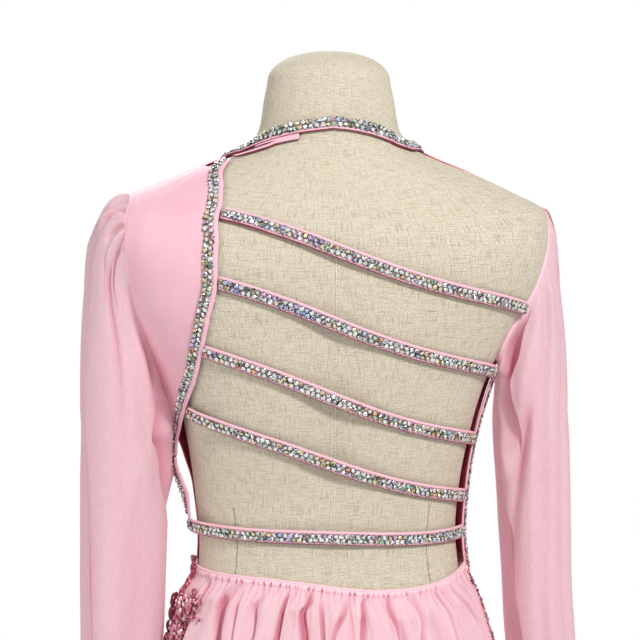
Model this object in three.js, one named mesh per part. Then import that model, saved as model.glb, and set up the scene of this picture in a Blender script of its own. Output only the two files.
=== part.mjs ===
import * as THREE from 'three';

// A one-shoulder-bare lyrical dance dress on a limbless dress form.
// Millimetres. +Z is up, the origin is under the middle of the stand's base,
// the wearer faces -Y and the wearer's left is +X.

// Cloth and seams
const cloth = 1.5;            // wall of every dress fabric
const ease = 1.5;             // air between the form and the cloth on it
const seam = 0.3;             // gap between two pieces that meet
const sleeveStart = 5;        // how far off the form a sleeve starts, clear of the bodice it is sewn to

// Bands and straps
const bandWidth = 13;
const neckBandWidth = 11;
const bandThickness = 2.4;
const tabWidth = 5;
const tabThickness = 1.6;
const edgeGap = 0.8;          // between a band and the edge of the panel it binds
const seamAngle = 0.12;       // half a seam gap, in degrees at the side lines

// Heights
const formBottom = 780;
const domeStart = 1470;
const domeHeight = 30;
const domeRound = 2.2;        // how square the cap of the neck is
const hemHeight = 360;
const waistHeight = 1016;     // top of the elastic, on average
const waistSwing = 6;         // how far the elastic rides up and down round the body
const elasticHeight = 7;
const elasticThickness = 3;
const cuffTop = 790;
const cuffHeight = 18;
const cuffThickness = 2.2;
const cuffGap = 1.2;          // below the slanting end of the sleeve

// Stand
const baseRadius = 190;
const baseThickness = 12;
const hubRadius = 26;
const hubTop = 60;
const poleRadius = 15;

// The hollow along the spine of the form, which the taut straps bridge
const spine = { depth: 6, halfWidth: 26, middle: 1190, reach: 120 };

// Level sections of the body: how far the widest line leans forward, half width there,
// how far the back and the front stand out from it, and how square the outline is.
const body = [
  { z: 780, lean: 0, halfWidth: 157, back: 103, front: 96, square: 2.3 },
  { z: 850, lean: 0, halfWidth: 163, back: 112, front: 102, square: 2.3 },
  { z: 900, lean: 0, halfWidth: 154, back: 109, front: 103, square: 2.3 },
  { z: 950, lean: 0, halfWidth: 140, back: 100, front: 100, square: 2.25 },
  { z: 1000, lean: 0, halfWidth: 126, back: 87, front: 94, square: 2.2 },
  { z: 1050, lean: 0, halfWidth: 121, back: 79, front: 90, square: 2.15 },
  { z: 1090, lean: 0, halfWidth: 124, back: 80, front: 92, square: 2.15 },
  { z: 1145, lean: 0, halfWidth: 134, back: 88, front: 102, square: 2.15 },
  { z: 1192, lean: 0, halfWidth: 147, back: 96, front: 114, square: 2.2 },
  { z: 1240, lean: 0, halfWidth: 170, back: 101, front: 122, square: 2.3 },
  { z: 1281, lean: 0, halfWidth: 192, back: 103, front: 121, square: 2.4 },
  { z: 1305, lean: 0, halfWidth: 200, back: 103, front: 115, square: 2.5 },
  { z: 1330, lean: 0, halfWidth: 204, back: 100, front: 107, square: 2.55 },
  { z: 1348, lean: 0, halfWidth: 203, back: 94, front: 96, square: 2.5 },
  { z: 1357, lean: 0, halfWidth: 196, back: 88, front: 88, square: 2.45 },
  { z: 1366, lean: 0, halfWidth: 178, back: 81, front: 79, square: 2.4 },
  { z: 1384, lean: 0, halfWidth: 140, back: 71, front: 66, square: 2.2 },
  { z: 1400, lean: 0, halfWidth: 99.5, back: 64, front: 59, square: 2.1 },
  { z: 1410, lean: -1, halfWidth: 79.5, back: 60, front: 56, square: 2.05 },
  { z: 1428, lean: -3, halfWidth: 65, back: 56, front: 54, square: 2 },
  { z: 1456, lean: -6, halfWidth: 60, back: 52, front: 53, square: 2 },
  { z: 1470, lean: -7, halfWidth: 57, back: 50, front: 51, square: 2 },
];

// The neck band, all round: degrees from the centre back towards the wearer's left
const neckLine = [
  { angle: 0, z: 1437 },
  { angle: 29, z: 1433 },
  { angle: 48, z: 1428 },
  { angle: 62, z: 1422 },
  { angle: 72, z: 1416 },
  { angle: 80, z: 1410.5 },
  { angle: 90, z: 1405 },
  { angle: 100, z: 1401 },
  { angle: 130, z: 1392 },
  { angle: 180, z: 1380 },
  { angle: 230, z: 1391 },
  { angle: 252, z: 1402 },
  { angle: 264, z: 1408 },
  { angle: 276, z: 1411 },
  { angle: 287, z: 1412.5 },
  { angle: 293, z: 1415 },
  { angle: 298, z: 1417.5 },
  { angle: 306, z: 1423 },
  { angle: 325, z: 1431 },
  { angle: 346, z: 1435.5 },
  { angle: 360, z: 1437 },
];

// The free edge of the left back panel, from its tip up to the neck, and its distance off the form
const panelEdge = [
  { z: 1128, angle: 86, off: 14.5 },
  { z: 1140, angle: 85, off: 12 },
  { z: 1159, angle: 81, off: 7 },
  { z: 1184, angle: 73, off: 3 },
  { z: 1213, angle: 63.5, off: 1.6 },
  { z: 1238, angle: 58, off: 1.5 },
  { z: 1267, angle: 53.5, off: 1.5 },
  { z: 1307, angle: 49.5, off: 1.5 },
  { z: 1333, angle: 50, off: 1.5 },
  { z: 1356, angle: 53.5, off: 1.5 },
  { z: 1380, angle: 61.5, off: 1.5 },
  { z: 1400, angle: 77, off: 1.5 },
];

// The strap that carries that edge on down to the lowest back strap
// and how far it turns to face back
const sideStrap = [
  { z: 1125, angle: 86, off: 15.5, turn: 0 },
  { z: 1115, angle: 86, off: 17, turn: 20 },
  { z: 1100, angle: 86, off: 15.5, turn: 40 },
  { z: 1088, angle: 86, off: 12.5, turn: 40 },
  { z: 1079, angle: 85.5, off: 10, turn: 20 },
  { z: 1069, angle: 85, off: 8, turn: 0 },
];
const sideStrapWidth = 9;

// How far the loose left side and the right side edge stand off the form beyond the ease
const leftSlack = [
  { z: 1010, off: 0.5 },
  { z: 1060, off: 1.5 },
  { z: 1100, off: 2.5 },
  { z: 1128, off: 9.5 },
  { z: 1150, off: 10 },
  { z: 1199, off: 8 },
  { z: 1226, off: 5.5 },
  { z: 1258, off: 3 },
  { z: 1290, off: 0 },
];
const rightSlack = [
  { z: 1010, off: 4.5 },
  { z: 1057, off: 5 },
  { z: 1097, off: 4.5 },
  { z: 1136, off: 3.5 },
  { z: 1178, off: 4 },
  { z: 1208, off: 4 },
  { z: 1230, off: 0 },
];
const slackSpread = 13;       // degrees to either side of a side line

// Back straps: where each starts on the left, crosses the spine, and ends on the right,
// how far its left end is lifted off the form, and how far that end slants along the strap
const backStraps = [
  { leftAngle: 51.2, leftZ: 1358, middleZ: 1329, rightAngle: -77.5, rightZ: 1266.5, leftOff: 0, slant: 0.9 },
  { leftAngle: 47.3, leftZ: 1300.5, middleZ: 1264, rightAngle: -82.5, rightZ: 1204, leftOff: 0, slant: 1 },
  { leftAngle: 55.5, leftZ: 1237, middleZ: 1195, rightAngle: -85, rightZ: 1138, leftOff: 0, slant: -0.5 },
  { leftAngle: 71.5, leftZ: 1174, middleZ: 1132, rightAngle: -83, rightZ: 1083.5, leftOff: 2, slant: -2.7 },
  { leftAngle: 86, leftZ: 1058, middleZ: 1062, rightAngle: -83, rightZ: 1048, leftOff: 6, slant: 0 },
];
const strapSteps = 18;
const strapBridge = { depth: 1.5, spread: 60 };

// Armholes: top and bottom, and how many degrees they reach to the back and the front of the side line
const armholes = {
  left: { side: 1, top: 1364, bottom: 1182, back: 13.5, backTop: 9.5, front: 13, frontTop: 6 },
  right: { side: -1, top: 1352, bottom: 1210, back: 8, backTop: -10, front: 13, frontTop: 6 },
};
const armholeRoundness = 0.6;

// Level sections of each hanging sleeve: nearest and farthest distance from the middle plane,
// half depth, and where its middle lies front to back
const sleeves = {
  left: [
    { z: 1150, inner: 160, outer: 234.5, depth: 51, middle: 0 },
    { z: 1118, inner: 157, outer: 235.5, depth: 50, middle: 0 },
    { z: 1058, inner: 154, outer: 237, depth: 48, middle: -1 },
    { z: 990, inner: 157, outer: 238.5, depth: 46, middle: -2 },
    { z: 942, inner: 165, outer: 239.5, depth: 44, middle: -3 },
    { z: 900, inner: 175, outer: 244, depth: 42, middle: -4 },
    { z: 850, inner: 184, outer: 249, depth: 39, middle: -5 },
    { z: 812, inner: 189, outer: 251, depth: 33, middle: -6 },
    { z: 790, inner: 195, outer: 244, depth: 26, middle: -6 },
  ],
  right: [
    { z: 1165, inner: 156, outer: 228, depth: 50, middle: 0 },
    { z: 1140, inner: 154.5, outer: 229.5, depth: 50, middle: 0 },
    { z: 1090, inner: 157, outer: 231.5, depth: 48, middle: -1 },
    { z: 1012, inner: 163, outer: 234.5, depth: 46, middle: -2 },
    { z: 942, inner: 170, outer: 239, depth: 44, middle: -3 },
    { z: 900, inner: 177, outer: 243, depth: 42, middle: -4 },
    { z: 850, inner: 184, outer: 248, depth: 39, middle: -5 },
    { z: 812, inner: 189, outer: 250, depth: 33, middle: -6 },
    { z: 790, inner: 195, outer: 244, depth: 26, middle: -6 },
  ],
};
// How far each sleeve swells out of its armhole, at the top and at the underarm
const caps = {
  left: { swell: 34, lift: 8, drop: 150, underSwell: 5, underDrop: 8 },
  right: { swell: 10, lift: 1, drop: 110, underSwell: 3, underDrop: 8 },
};
// Long soft folds down the sleeves: place round the sleeve, depth and width in parts of a turn
const sleeveFolds = [
  { at: 0.12, depth: 4, width: 0.05 },
  { at: 0.38, depth: 5, width: 0.06 },
  { at: 0.66, depth: 4, width: 0.05 },
  { at: 0.88, depth: 3, width: 0.05 },
];
const sleeveFoldFade = 120;   // how far below the cap they reach their full depth
const sleeveRadius = 45;      // that their depths are meant for
const sleeveColumns = 20;
const capRows = 6;

// Skirt: level sections of its fold bottoms, and how far the folds stand out from them
const skirtSections = [
  { z: 1012, halfWidth: 129.5, back: 89.5, front: 98, fold: 1.5 },
  { z: 977, halfWidth: 140, back: 98, front: 103, fold: 6 },
  { z: 938, halfWidth: 150, back: 107, front: 107, fold: 10 },
  { z: 900, halfWidth: 160, back: 114, front: 110, fold: 11 },
  { z: 860, halfWidth: 167, back: 118, front: 113, fold: 11 },
  { z: 800, halfWidth: 171, back: 122, front: 117, fold: 11 },
  { z: 650, halfWidth: 188, back: 141, front: 132, fold: 18 },
  { z: 500, halfWidth: 205, back: 160, front: 151, fold: 26 },
  { z: 360, halfWidth: 222, back: 179, front: 170, fold: 34 },
];
const skirtSquare = 2.2;
// Fold bottoms round the skirt, and the height of the fold that follows each one
const skirtFolds = [
  { angle: -90, height: 0.9 },
  { angle: -77, height: 0.8 },
  { angle: -64, height: 0.9 },
  { angle: -50, height: 1 },
  { angle: -34, height: 0.9 },
  { angle: -18, height: 0.55 },
  { angle: -9, height: 0.65 },
  { angle: 3, height: 0.6 },
  { angle: 14, height: 0.7 },
  { angle: 27, height: 0.85 },
  { angle: 41, height: 0.95 },
  { angle: 56, height: 1 },
  { angle: 73, height: 0.8 },
  { angle: 90, height: 0.9 },
  { angle: 103, height: 0.75 },
  { angle: 116, height: 1 },
  { angle: 131, height: 0.8 },
  { angle: 143, height: 0.6 },
  { angle: 154, height: 0.9 },
  { angle: 168, height: 0.7 },
  { angle: 179, height: 0.6 },
  { angle: 190, height: 1 },
  { angle: 204, height: 0.85 },
  { angle: 217, height: 0.7 },
  { angle: 229, height: 0.95 },
  { angle: 243, height: 0.65 },
  { angle: 256, height: 0.9 },
  { angle: 270, height: 0.9 },
];
const foldSamples = [0, 0.3, 0.7];
const skirtRows = [0, 0.028, 0.065, 0.115, 0.19, 0.32, 0.53, 0.77, 1];

// Hip trims, by the skirt rows and the angles they span
const appliqueLeft = { fromAngle: 66, toAngle: 90, fromRow: 0, toRow: 3, thickness: 4 };
const trimRight = { fromAngle: -90, toAngle: -85, fromRow: 0, toRow: 2, thickness: 3 };
const trimGap = 0.4;

// Levels of the rings and rows that the larger pieces are built from
const torsoLevels = [
  780, 800, 825, 850, 880, 910, 940, 970, 1000, 1030, 1060, 1090, 1125, 1160, 1192, 1220, 1245, 1268, 1290,
  1310, 1330, 1342, 1350, 1357, 1363, 1370, 1377, 1385, 1393, 1400, 1408, 1418, 1432, 1450, domeStart,
];
const domeParts = [0.3, 0.55, 0.78, 0.93];
const panelLevels = { low: 1150, high: 1335 };
const shoulderLevels = [1344, 1351, 1357, 1363, 1369, 1377, 1386, 1395, 1399];
const frontParts = [
  0, 0.1, 0.2, 0.285, 0.345, 0.42, 0.48, 0.53, 0.6, 0.67, 0.74, 0.8,
  0.845, 0.875, 0.897, 0.914, 0.932, 0.95, 0.97, 1,
];
const sleeveLevels = { low: 850, hem: [825, 805] };

// Front panel at its free right edge
const rightSideRadius = 125;  // of the body where the side edge band lies
const rightShoulder = { above: 1300, edge: 10 };

const colors = {
  linen: 0xe0d5bf,
  stretch: 0xf0a5bd,
  sheer: 0xf3b3c4,
  stones: 0xc9c0c2,
  beads: 0xb45068,
  base: 0xb9babd,
  pole: 0xc6c7ca,
};

const radians = Math.PI / 180;

// ---------------------------------------------------------------- curves

// A smooth curve through a table's rows that never overshoots them
function curve(rows, along, column) {
  const at = rows.map((row) => row[along]);
  const value = rows.map((row) => row[column]);
  const order = at.map((_, i) => i).sort((a, b) => at[a] - at[b]);
  const x = order.map((i) => at[i]);
  const y = order.map((i) => value[i]);
  const step = x.slice(1).map((next, i) => next - x[i]);
  const slope = step.map((length, i) => (y[i + 1] - y[i]) / length);
  const tangent = x.map((_, i) => {
    if (i === 0) return slope[0];
    if (i === x.length - 1) return slope[i - 1];
    if (slope[i - 1] * slope[i] <= 0) return 0;
    const before = 2 * step[i] + step[i - 1];
    const after = step[i] + 2 * step[i - 1];
    return (before + after) / (before / slope[i - 1] + after / slope[i]);
  });
  return (where) => {
    const p = THREE.MathUtils.clamp(where, x[0], x[x.length - 1]);
    let i = 0;
    while (i < x.length - 2 && p > x[i + 1]) i += 1;
    const t = (p - x[i]) / step[i];
    const rise = y[i] * (1 + 2 * t) * (1 - t) ** 2 + y[i + 1] * t * t * (3 - 2 * t);
    const bend = tangent[i] * t * (1 - t) ** 2 - tangent[i + 1] * t * t * (1 - t);
    return rise + bend * step[i];
  };
}

const lean = curve(body, 'z', 'lean');
const halfWidth = curve(body, 'z', 'halfWidth');
const backDepth = curve(body, 'z', 'back');
const frontDepth = curve(body, 'z', 'front');
const squareness = curve(body, 'z', 'square');

const bump = (distance, spread) => Math.exp(-((distance / spread) ** 2));

// ---------------------------------------------------------------- body surface

// Distance from the axis to a rounded outline in one direction
function outline(angle, side, back, front, square) {
  const s = Math.abs(Math.sin(angle * radians)) / side;
  const c = Math.cos(angle * radians);
  const reach = Math.abs(c) / (c > 0 ? back : front);
  return (s ** square + reach ** square) ** (-1 / square);
}

function bodyPoint(angle, z) {
  const r = outline(angle, halfWidth(z), backDepth(z), frontDepth(z), squareness(z));
  return new THREE.Vector3(r * Math.sin(angle * radians), lean(z) + r * Math.cos(angle * radians), z);
}

function slopes(angle, z) {
  const d = 0.25;
  const round = bodyPoint(angle + d, z).sub(bodyPoint(angle - d, z)).divideScalar(2 * d);
  const up = bodyPoint(angle, z + d).sub(bodyPoint(angle, z - d)).divideScalar(2 * d);
  return { round, up, out: new THREE.Vector3().crossVectors(up, round).normalize() };
}

// A point that stands off the body surface, square to it
function worn(angle, z, off) {
  return bodyPoint(angle, z).addScaledVector(slopes(angle, z).out, off);
}

// The angle and height reached by a small move over the body surface
function moved(angle, z, move) {
  const { round, up } = slopes(angle, z);
  const rr = round.dot(round);
  const uu = up.dot(up);
  const ru = round.dot(up);
  const mr = move.dot(round);
  const mu = move.dot(up);
  const scale = 1 / (rr * uu - ru * ru);
  return { angle: angle + (mr * uu - mu * ru) * scale, z: z + (mu * rr - mr * ru) * scale };
}

// ---------------------------------------------------------------- solids

function closedMesh(points, triangles) {
  let volume = 0;
  for (const [a, b, c] of triangles) {
    volume += points[a].dot(new THREE.Vector3().crossVectors(points[b], points[c]));
  }
  const faces = volume > 0 ? triangles : triangles.map(([a, b, c]) => [a, c, b]);
  const geometry = new THREE.BufferGeometry();
  geometry.setAttribute('position', new THREE.Float32BufferAttribute(points.flatMap((p) => p.toArray()), 3));
  geometry.setIndex(faces.flat());
  geometry.computeVertexNormals();
  return geometry;
}

// A wall between two grids of points; a loop joins its last column to its first
function wall(inside, outside, loop) {
  const rows = inside.length;
  const columns = inside[0].length;
  const points = [...inside.flat(), ...outside.flat()];
  const shift = rows * columns;
  const triangles = [];
  const quad = (a, b, c, d) => triangles.push([a, b, c], [a, c, d]);
  const spans = loop ? columns : columns - 1;
  for (let r = 0; r < rows - 1; r += 1) {
    for (let c = 0; c < spans; c += 1) {
      const next = (c + 1) % columns;
      const [a, b] = [r * columns + c, r * columns + next];
      quad(a, b, b + columns, a + columns);
      quad(shift + a, shift + a + columns, shift + b + columns, shift + b);
    }
  }
  for (let c = 0; c < spans; c += 1) {
    const next = (c + 1) % columns;
    const last = (rows - 1) * columns;
    quad(c, shift + c, shift + next, next);
    quad(last + c, last + next, shift + last + next, shift + last + c);
  }
  if (!loop) {
    for (let r = 0; r < rows - 1; r += 1) {
      const a = r * columns;
      const b = a + columns - 1;
      quad(a, a + columns, shift + a + columns, shift + a);
      quad(b, shift + b, shift + b + columns, b + columns);
    }
  }
  return closedMesh(points, triangles);
}

// The same grid moved square to itself, away from the inside point of each row
function thickened(grid, thickness, loop) {
  const rows = grid.length;
  const columns = grid[0].length;
  return grid.map((row, r) => {
    const middle = row.reduce((sum, p) => sum.add(p), new THREE.Vector3()).divideScalar(columns);
    return row.map((point, c) => {
      const before = loop ? row[(c + columns - 1) % columns] : row[Math.max(c - 1, 0)];
      const after = loop ? row[(c + 1) % columns] : row[Math.min(c + 1, columns - 1)];
      const below = grid[Math.max(r - 1, 0)][c];
      const above = grid[Math.min(r + 1, rows - 1)][c];
      const across = after.clone().sub(before);
      const along = above.clone().sub(below);
      const normal = across.cross(along).normalize();
      const outward = point.clone().sub(middle);
      if (loop && normal.dot(outward) < 0) normal.negate();
      return point.clone().addScaledVector(normal, thickness);
    });
  });
}

// A flat band swept along stations, each with a place, a width direction and an outward direction
function band(stations, width, thickness, loop) {
  const corner = (station, side, lift) => station.at.clone()
    .addScaledVector(station.across, side * width / 2)
    .addScaledVector(station.along, side * (station.slant ?? 0))
    .addScaledVector(station.out, lift);
  const inside = stations.map((s) => [corner(s, -1, 0), corner(s, 1, 0)]);
  const outside = stations.map((s) => [corner(s, -1, thickness), corner(s, 1, thickness)]);
  const turn = (grid) => [0, 1].map((k) => grid.map((row) => row[k]));
  return loop ? wall(turn(inside), turn(outside), true) : wall(inside, outside, false);
}

// Stations for a band on the body, from a list of angle, height and distance off
function bandStations(path, loop) {
  const at = path.map((p) => worn(p.angle, p.z, p.off));
  const count = path.length;
  return path.map((p, i) => {
    const before = loop ? at[(i + count - 1) % count] : at[Math.max(i - 1, 0)];
    const after = loop ? at[(i + 1) % count] : at[Math.min(i + 1, count - 1)];
    const along = after.clone().sub(before).normalize();
    const out = slopes(p.angle, p.z).out;
    const across = new THREE.Vector3().crossVectors(along, out).normalize();
    return { at: at[i], along, across, out: new THREE.Vector3().crossVectors(across, along).normalize() };
  });
}

const spread = (count, from, to) => Array.from(
  { length: count },
  (_, i) => from + (to - from) * i / (count - 1),
);

function finish(name, geometry, color, roughness, metalness = 0) {
  const mesh = new THREE.Mesh(geometry, new THREE.MeshStandardMaterial({ color, roughness, metalness }));
  mesh.name = name;
  return mesh;
}

const stretchPink = (name, geometry) => finish(name, geometry, colors.stretch, 0.5);
const sheerPink = (name, geometry) => finish(name, geometry, colors.sheer, 0.7);
const stoned = (name, geometry) => finish(name, geometry, colors.stones, 0.25, 0.4);

// ---------------------------------------------------------------- dress form and stand

function formTorso() {
  const columns = 40;
  const ring = (z, scale, level) => spread(columns + 1, 0, 360).slice(0, columns).map((angle) => {
    const p = bodyPoint(angle, z);
    const hollow = spine.depth * bump(p.x, spine.halfWidth) * bump(z - spine.middle, spine.reach);
    if (p.y > 0) p.y -= hollow;
    return new THREE.Vector3(p.x * scale, lean(z) + (p.y - lean(z)) * scale, level);
  });
  const rings = torsoLevels.map((z) => ring(z, 1, z));
  for (const part of domeParts) {
    rings.push(ring(domeStart, (1 - part ** domeRound) ** (1 / domeRound), domeStart + domeHeight * part));
  }
  const points = rings.flat();
  points.push(new THREE.Vector3(0, lean(formBottom), formBottom));
  points.push(new THREE.Vector3(0, lean(domeStart), domeStart + domeHeight));
  const triangles = [];
  for (let r = 0; r < rings.length - 1; r += 1) {
    for (let c = 0; c < columns; c += 1) {
      const [a, b] = [r * columns + c, r * columns + (c + 1) % columns];
      triangles.push([a, b, b + columns], [a, b + columns, a + columns]);
    }
  }
  const last = (rings.length - 1) * columns;
  for (let c = 0; c < columns; c += 1) {
    const next = (c + 1) % columns;
    triangles.push([points.length - 2, next, c], [points.length - 1, last + c, last + next]);
  }
  return finish('form_torso', closedMesh(points, triangles), colors.linen, 0.9);
}

function turned(name, profile, color, roughness, metalness) {
  const points = profile.map(([r, z]) => new THREE.Vector2(r, z));
  const geometry = new THREE.LatheGeometry(points, 32).rotateX(Math.PI / 2);
  return finish(name, geometry, color, roughness, metalness);
}

function stand() {
  const edge = 4;
  const base = [
    [0, 0],
    [baseRadius - edge, 0],
    [baseRadius, edge],
    [baseRadius, baseThickness - edge],
    [baseRadius - edge, baseThickness],
    [hubRadius + edge, baseThickness + edge],
    [hubRadius, baseThickness + 2 * edge],
    [hubRadius, hubTop - edge],
    [hubRadius - edge, hubTop],
    [0, hubTop],
  ];
  const poleLow = hubTop + seam;
  const poleHigh = formBottom - seam;
  const pole = [[0, poleLow], [poleRadius, poleLow], [poleRadius, poleHigh], [0, poleHigh]];
  return [
    turned('form_base', base, colors.base, 0.35, 0.7),
    turned('form_pole', pole, colors.pole, 0.25, 0.9),
  ];
}

// ---------------------------------------------------------------- bands and straps

const neckZ = curve(neckLine, 'angle', 'z');
const edgeAngle = curve(panelEdge, 'z', 'angle');
const edgeOff = curve(panelEdge, 'z', 'off');
const slackAt = curve(leftSlack, 'z', 'off');
const rightSlackAt = curve(rightSlack, 'z', 'off');

function neckPath() {
  const around = [...spread(15, 0, 78), ...spread(17, 84, 276), ...spread(14, 282, 354)];
  return around.map((angle) => ({ angle, z: neckZ(angle), off: ease }));
}

function neckBand() {
  return stoned('neck_band', band(bandStations(neckPath(), true), neckBandWidth, bandThickness, true));
}

// Plain tab that closes the neck band, and the strand that runs on from it to the panel
function neckTab() {
  const below = neckBandWidth / 2 + tabWidth / 2 + edgeGap;
  const line = spread(14, 31, 80).map((angle) => ({ angle, z: neckZ(angle), off: ease }));
  const stations = bandStations(line);
  const path = line.map((p, i) => {
    const away = stations[i].across.clone();
    if (away.z > 0) away.negate();
    return { ...moved(p.angle, p.z, away.multiplyScalar(below)), off: ease };
  });
  return stretchPink('neck_tab', band(bandStations(path), tabWidth, tabThickness));
}

const panelEdgePath = (levels) => levels.map((z) => ({ angle: edgeAngle(z), z, off: edgeOff(z) }));

function panelEdgeBand() {
  const top = panelEdge[panelEdge.length - 1].z;
  const levels = [...spread(15, panelEdge[0].z, 1345), ...spread(8, 1352, top)];
  return stoned('panel_edge_band', band(bandStations(panelEdgePath(levels)), bandWidth, bandThickness));
}

function strapPath(strap) {
  const leftSlope = (strap.leftZ - strap.middleZ) / strap.leftAngle;
  const rightSlope = (strap.rightZ - strap.middleZ) / strap.rightAngle;
  const bend = (leftSlope - rightSlope) / (strap.leftAngle - strap.rightAngle);
  const slope = leftSlope - bend * strap.leftAngle;
  return spread(strapSteps, strap.leftAngle, strap.rightAngle).map((angle) => {
    const z = strap.middleZ + slope * angle + bend * angle * angle;
    const bridge = strapBridge.depth * bump(angle, strapBridge.spread);
    const left = strap.leftOff * bump(angle - strap.leftAngle, slackSpread);
    const right = rightSlackAt(z) * bump(angle + 90, slackSpread);
    return { angle, z, off: ease + bridge + left + right };
  });
}

function straps() {
  const back = backStraps.map((strap, i) => {
    const stations = bandStations(strapPath(strap));
    stations[0].slant = strap.slant;
    return stoned(`back_strap_${i + 1}`, band(stations, bandWidth, bandThickness));
  });
  const stations = bandStations(sideStrap).map((station, i) => {
    const axis = new THREE.Vector3().crossVectors(station.across, station.out);
    const turned = (vector) => vector.clone().applyAxisAngle(axis, sideStrap[i].turn * radians);
    return { ...station, out: turned(station.out), across: turned(station.across) };
  });
  return [...back, stoned('side_strap_left', band(stations, sideStrapWidth, bandThickness))];
}

// The stoned band down the right side edge of the front
function sideEdgeBandRight() {
  const path = spread(10, waistTop(-90) + 2, armholes.right.bottom - 6)
    .map((z) => ({ angle: -90, z, off: ease + rightSlackAt(z) }));
  return stoned('side_edge_band_right', band(bandStations(path), bandWidth, bandThickness));
}

// ---------------------------------------------------------------- bodice

function waistTop(angle) {
  return waistHeight + waistSwing * Math.sin(2 * angle * radians);
}

// Degrees from the side line to an armhole's edge at one height; part is 'back' or 'front'
function armholeReach(hole, part, z) {
  const middle = (hole.top + hole.bottom) / 2;
  const rise = THREE.MathUtils.clamp((z - middle) / (hole.top - middle), -1, 1);
  const width = hole[part] + hole[`${part}Top`] * rise;
  return width * Math.sqrt(1 - rise * rise) ** armholeRoundness;
}

function bodiceOff(angle, z) {
  const left = slackAt(z) * bump(angle - 90, slackSpread);
  const right = rightSlackAt(z) * bump(angle - 270, slackSpread);
  return ease + left + right;
}

const wornGrid = (grid, lift) => grid.map((row) => row.map((p) => worn(p.angle, p.z, p.off + lift)));

// The panel that covers the left of the back, between its stoned edge and the left side
function backLeftPanel() {
  const levels = [...spread(11, panelLevels.low, panelLevels.high), ...shoulderLevels];
  const centre = panelEdgePath(levels);
  const stations = bandStations(centre);
  const inner = centre.map((p, i) => {
    const away = stations[i].across.clone();
    if (away.dot(slopes(p.angle, p.z).round) < 0) away.negate();
    return { ...moved(p.angle, p.z, away.multiplyScalar(bandWidth / 2 + edgeGap)), off: p.off };
  });
  const hole = armholes.left;
  const grid = inner.map((from) => {
    const side = 90 - seamAngle;
    const to = from.z < hole.bottom || from.z > hole.top ? side : side - armholeReach(hole, 'back', from.z);
    return spread(7, from.angle, Math.max(to, from.angle + 2)).map((angle, i) => {
      const settling = THREE.MathUtils.lerp(from.off, ease, i / 6);
      const off = i === 0 ? from.off : Math.max(bodiceOff(angle, from.z), settling);
      return { angle, z: from.z, off };
    });
  });
  return stretchPink('back_left_panel', wall(wornGrid(grid, 0), wornGrid(grid, cloth)));
}

// The front, from the left side line round to the right side band, waist to neck band
function frontBodice() {
  const neckPoints = neckPath().filter((p) => p.angle > 80 && p.angle < 280);
  const neckStations = bandStations(neckPoints);
  const neckEdge = neckPoints.map((p, i) => {
    const away = neckStations[i].across.clone();
    if (away.z > 0) away.negate();
    return moved(p.angle, p.z, away.multiplyScalar(neckBandWidth / 2 + edgeGap));
  });
  const top = curve(neckEdge, 'angle', 'z');
  const columns = 21;
  const bandAngle = (bandWidth / 2 + seam) / rightSideRadius / radians;
  const grid = frontParts.map((part) => {
    const level = (angle) => THREE.MathUtils.lerp(waistTop(angle) + seam, top(angle), part);
    const zLeft = level(92);
    const zRight = level(262);
    const { left, right } = armholes;
    const from = 90 + seamAngle + armholeReach(left, 'front', zLeft);
    const least = zRight > rightShoulder.above ? rightShoulder.edge : bandAngle;
    const reach = zRight < right.bottom ? 0 : armholeReach(right, 'front', zRight);
    const to = 270 - Math.max(reach, least);
    return spread(columns, 0, Math.PI).map((turn) => {
      const angle = (from + to) / 2 - (to - from) / 2 * Math.cos(turn);
      const z = level(angle);
      return { angle, z, off: bodiceOff(angle, z) };
    });
  });
  return stretchPink('front_bodice', wall(wornGrid(grid, 0), wornGrid(grid, cloth)));
}

// ---------------------------------------------------------------- sleeves

// A point of an armhole; turn 0 is its top, 0.25 the back, 0.5 the underarm
function armholePoint(hole, turn) {
  const rise = Math.cos(turn * 2 * Math.PI);
  const middle = (hole.top + hole.bottom) / 2;
  const z = middle + (hole.top - middle) * rise;
  const reach = armholeReach(hole, turn < 0.5 ? 'back' : 'front', z);
  const angle = hole.side * (90 - (turn < 0.5 ? reach : -reach));
  const slack = (hole.side > 0 ? slackAt(z) : rightSlackAt(z)) * bump(Math.abs(angle) - 90, slackSpread);
  return worn(angle, z, sleeveStart + slack);
}

function sleeveFold(turn) {
  return sleeveFolds.reduce((sum, fold) => {
    const away = Math.abs(((turn - fold.at + 1.5) % 1) - 0.5);
    return sum + fold.depth * bump(away, fold.width);
  }, 0);
}

function sleeveRing(side, sections, z, turn) {
  const at = (column) => curve(sections, 'z', column)(z);
  const centre = (at('inner') + at('outer')) / 2;
  const half = (at('outer') - at('inner')) / 2;
  const ramp = THREE.MathUtils.smoothstep(sections[0].z - z, 0, sleeveFoldFade);
  const shrink = 1 - ramp * sleeveFold(turn) / sleeveRadius;
  return new THREE.Vector3(
    side * (centre + half * shrink * Math.cos(turn * 2 * Math.PI)),
    at('middle') + at('depth') * shrink * Math.sin(turn * 2 * Math.PI),
    z,
  );
}

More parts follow.
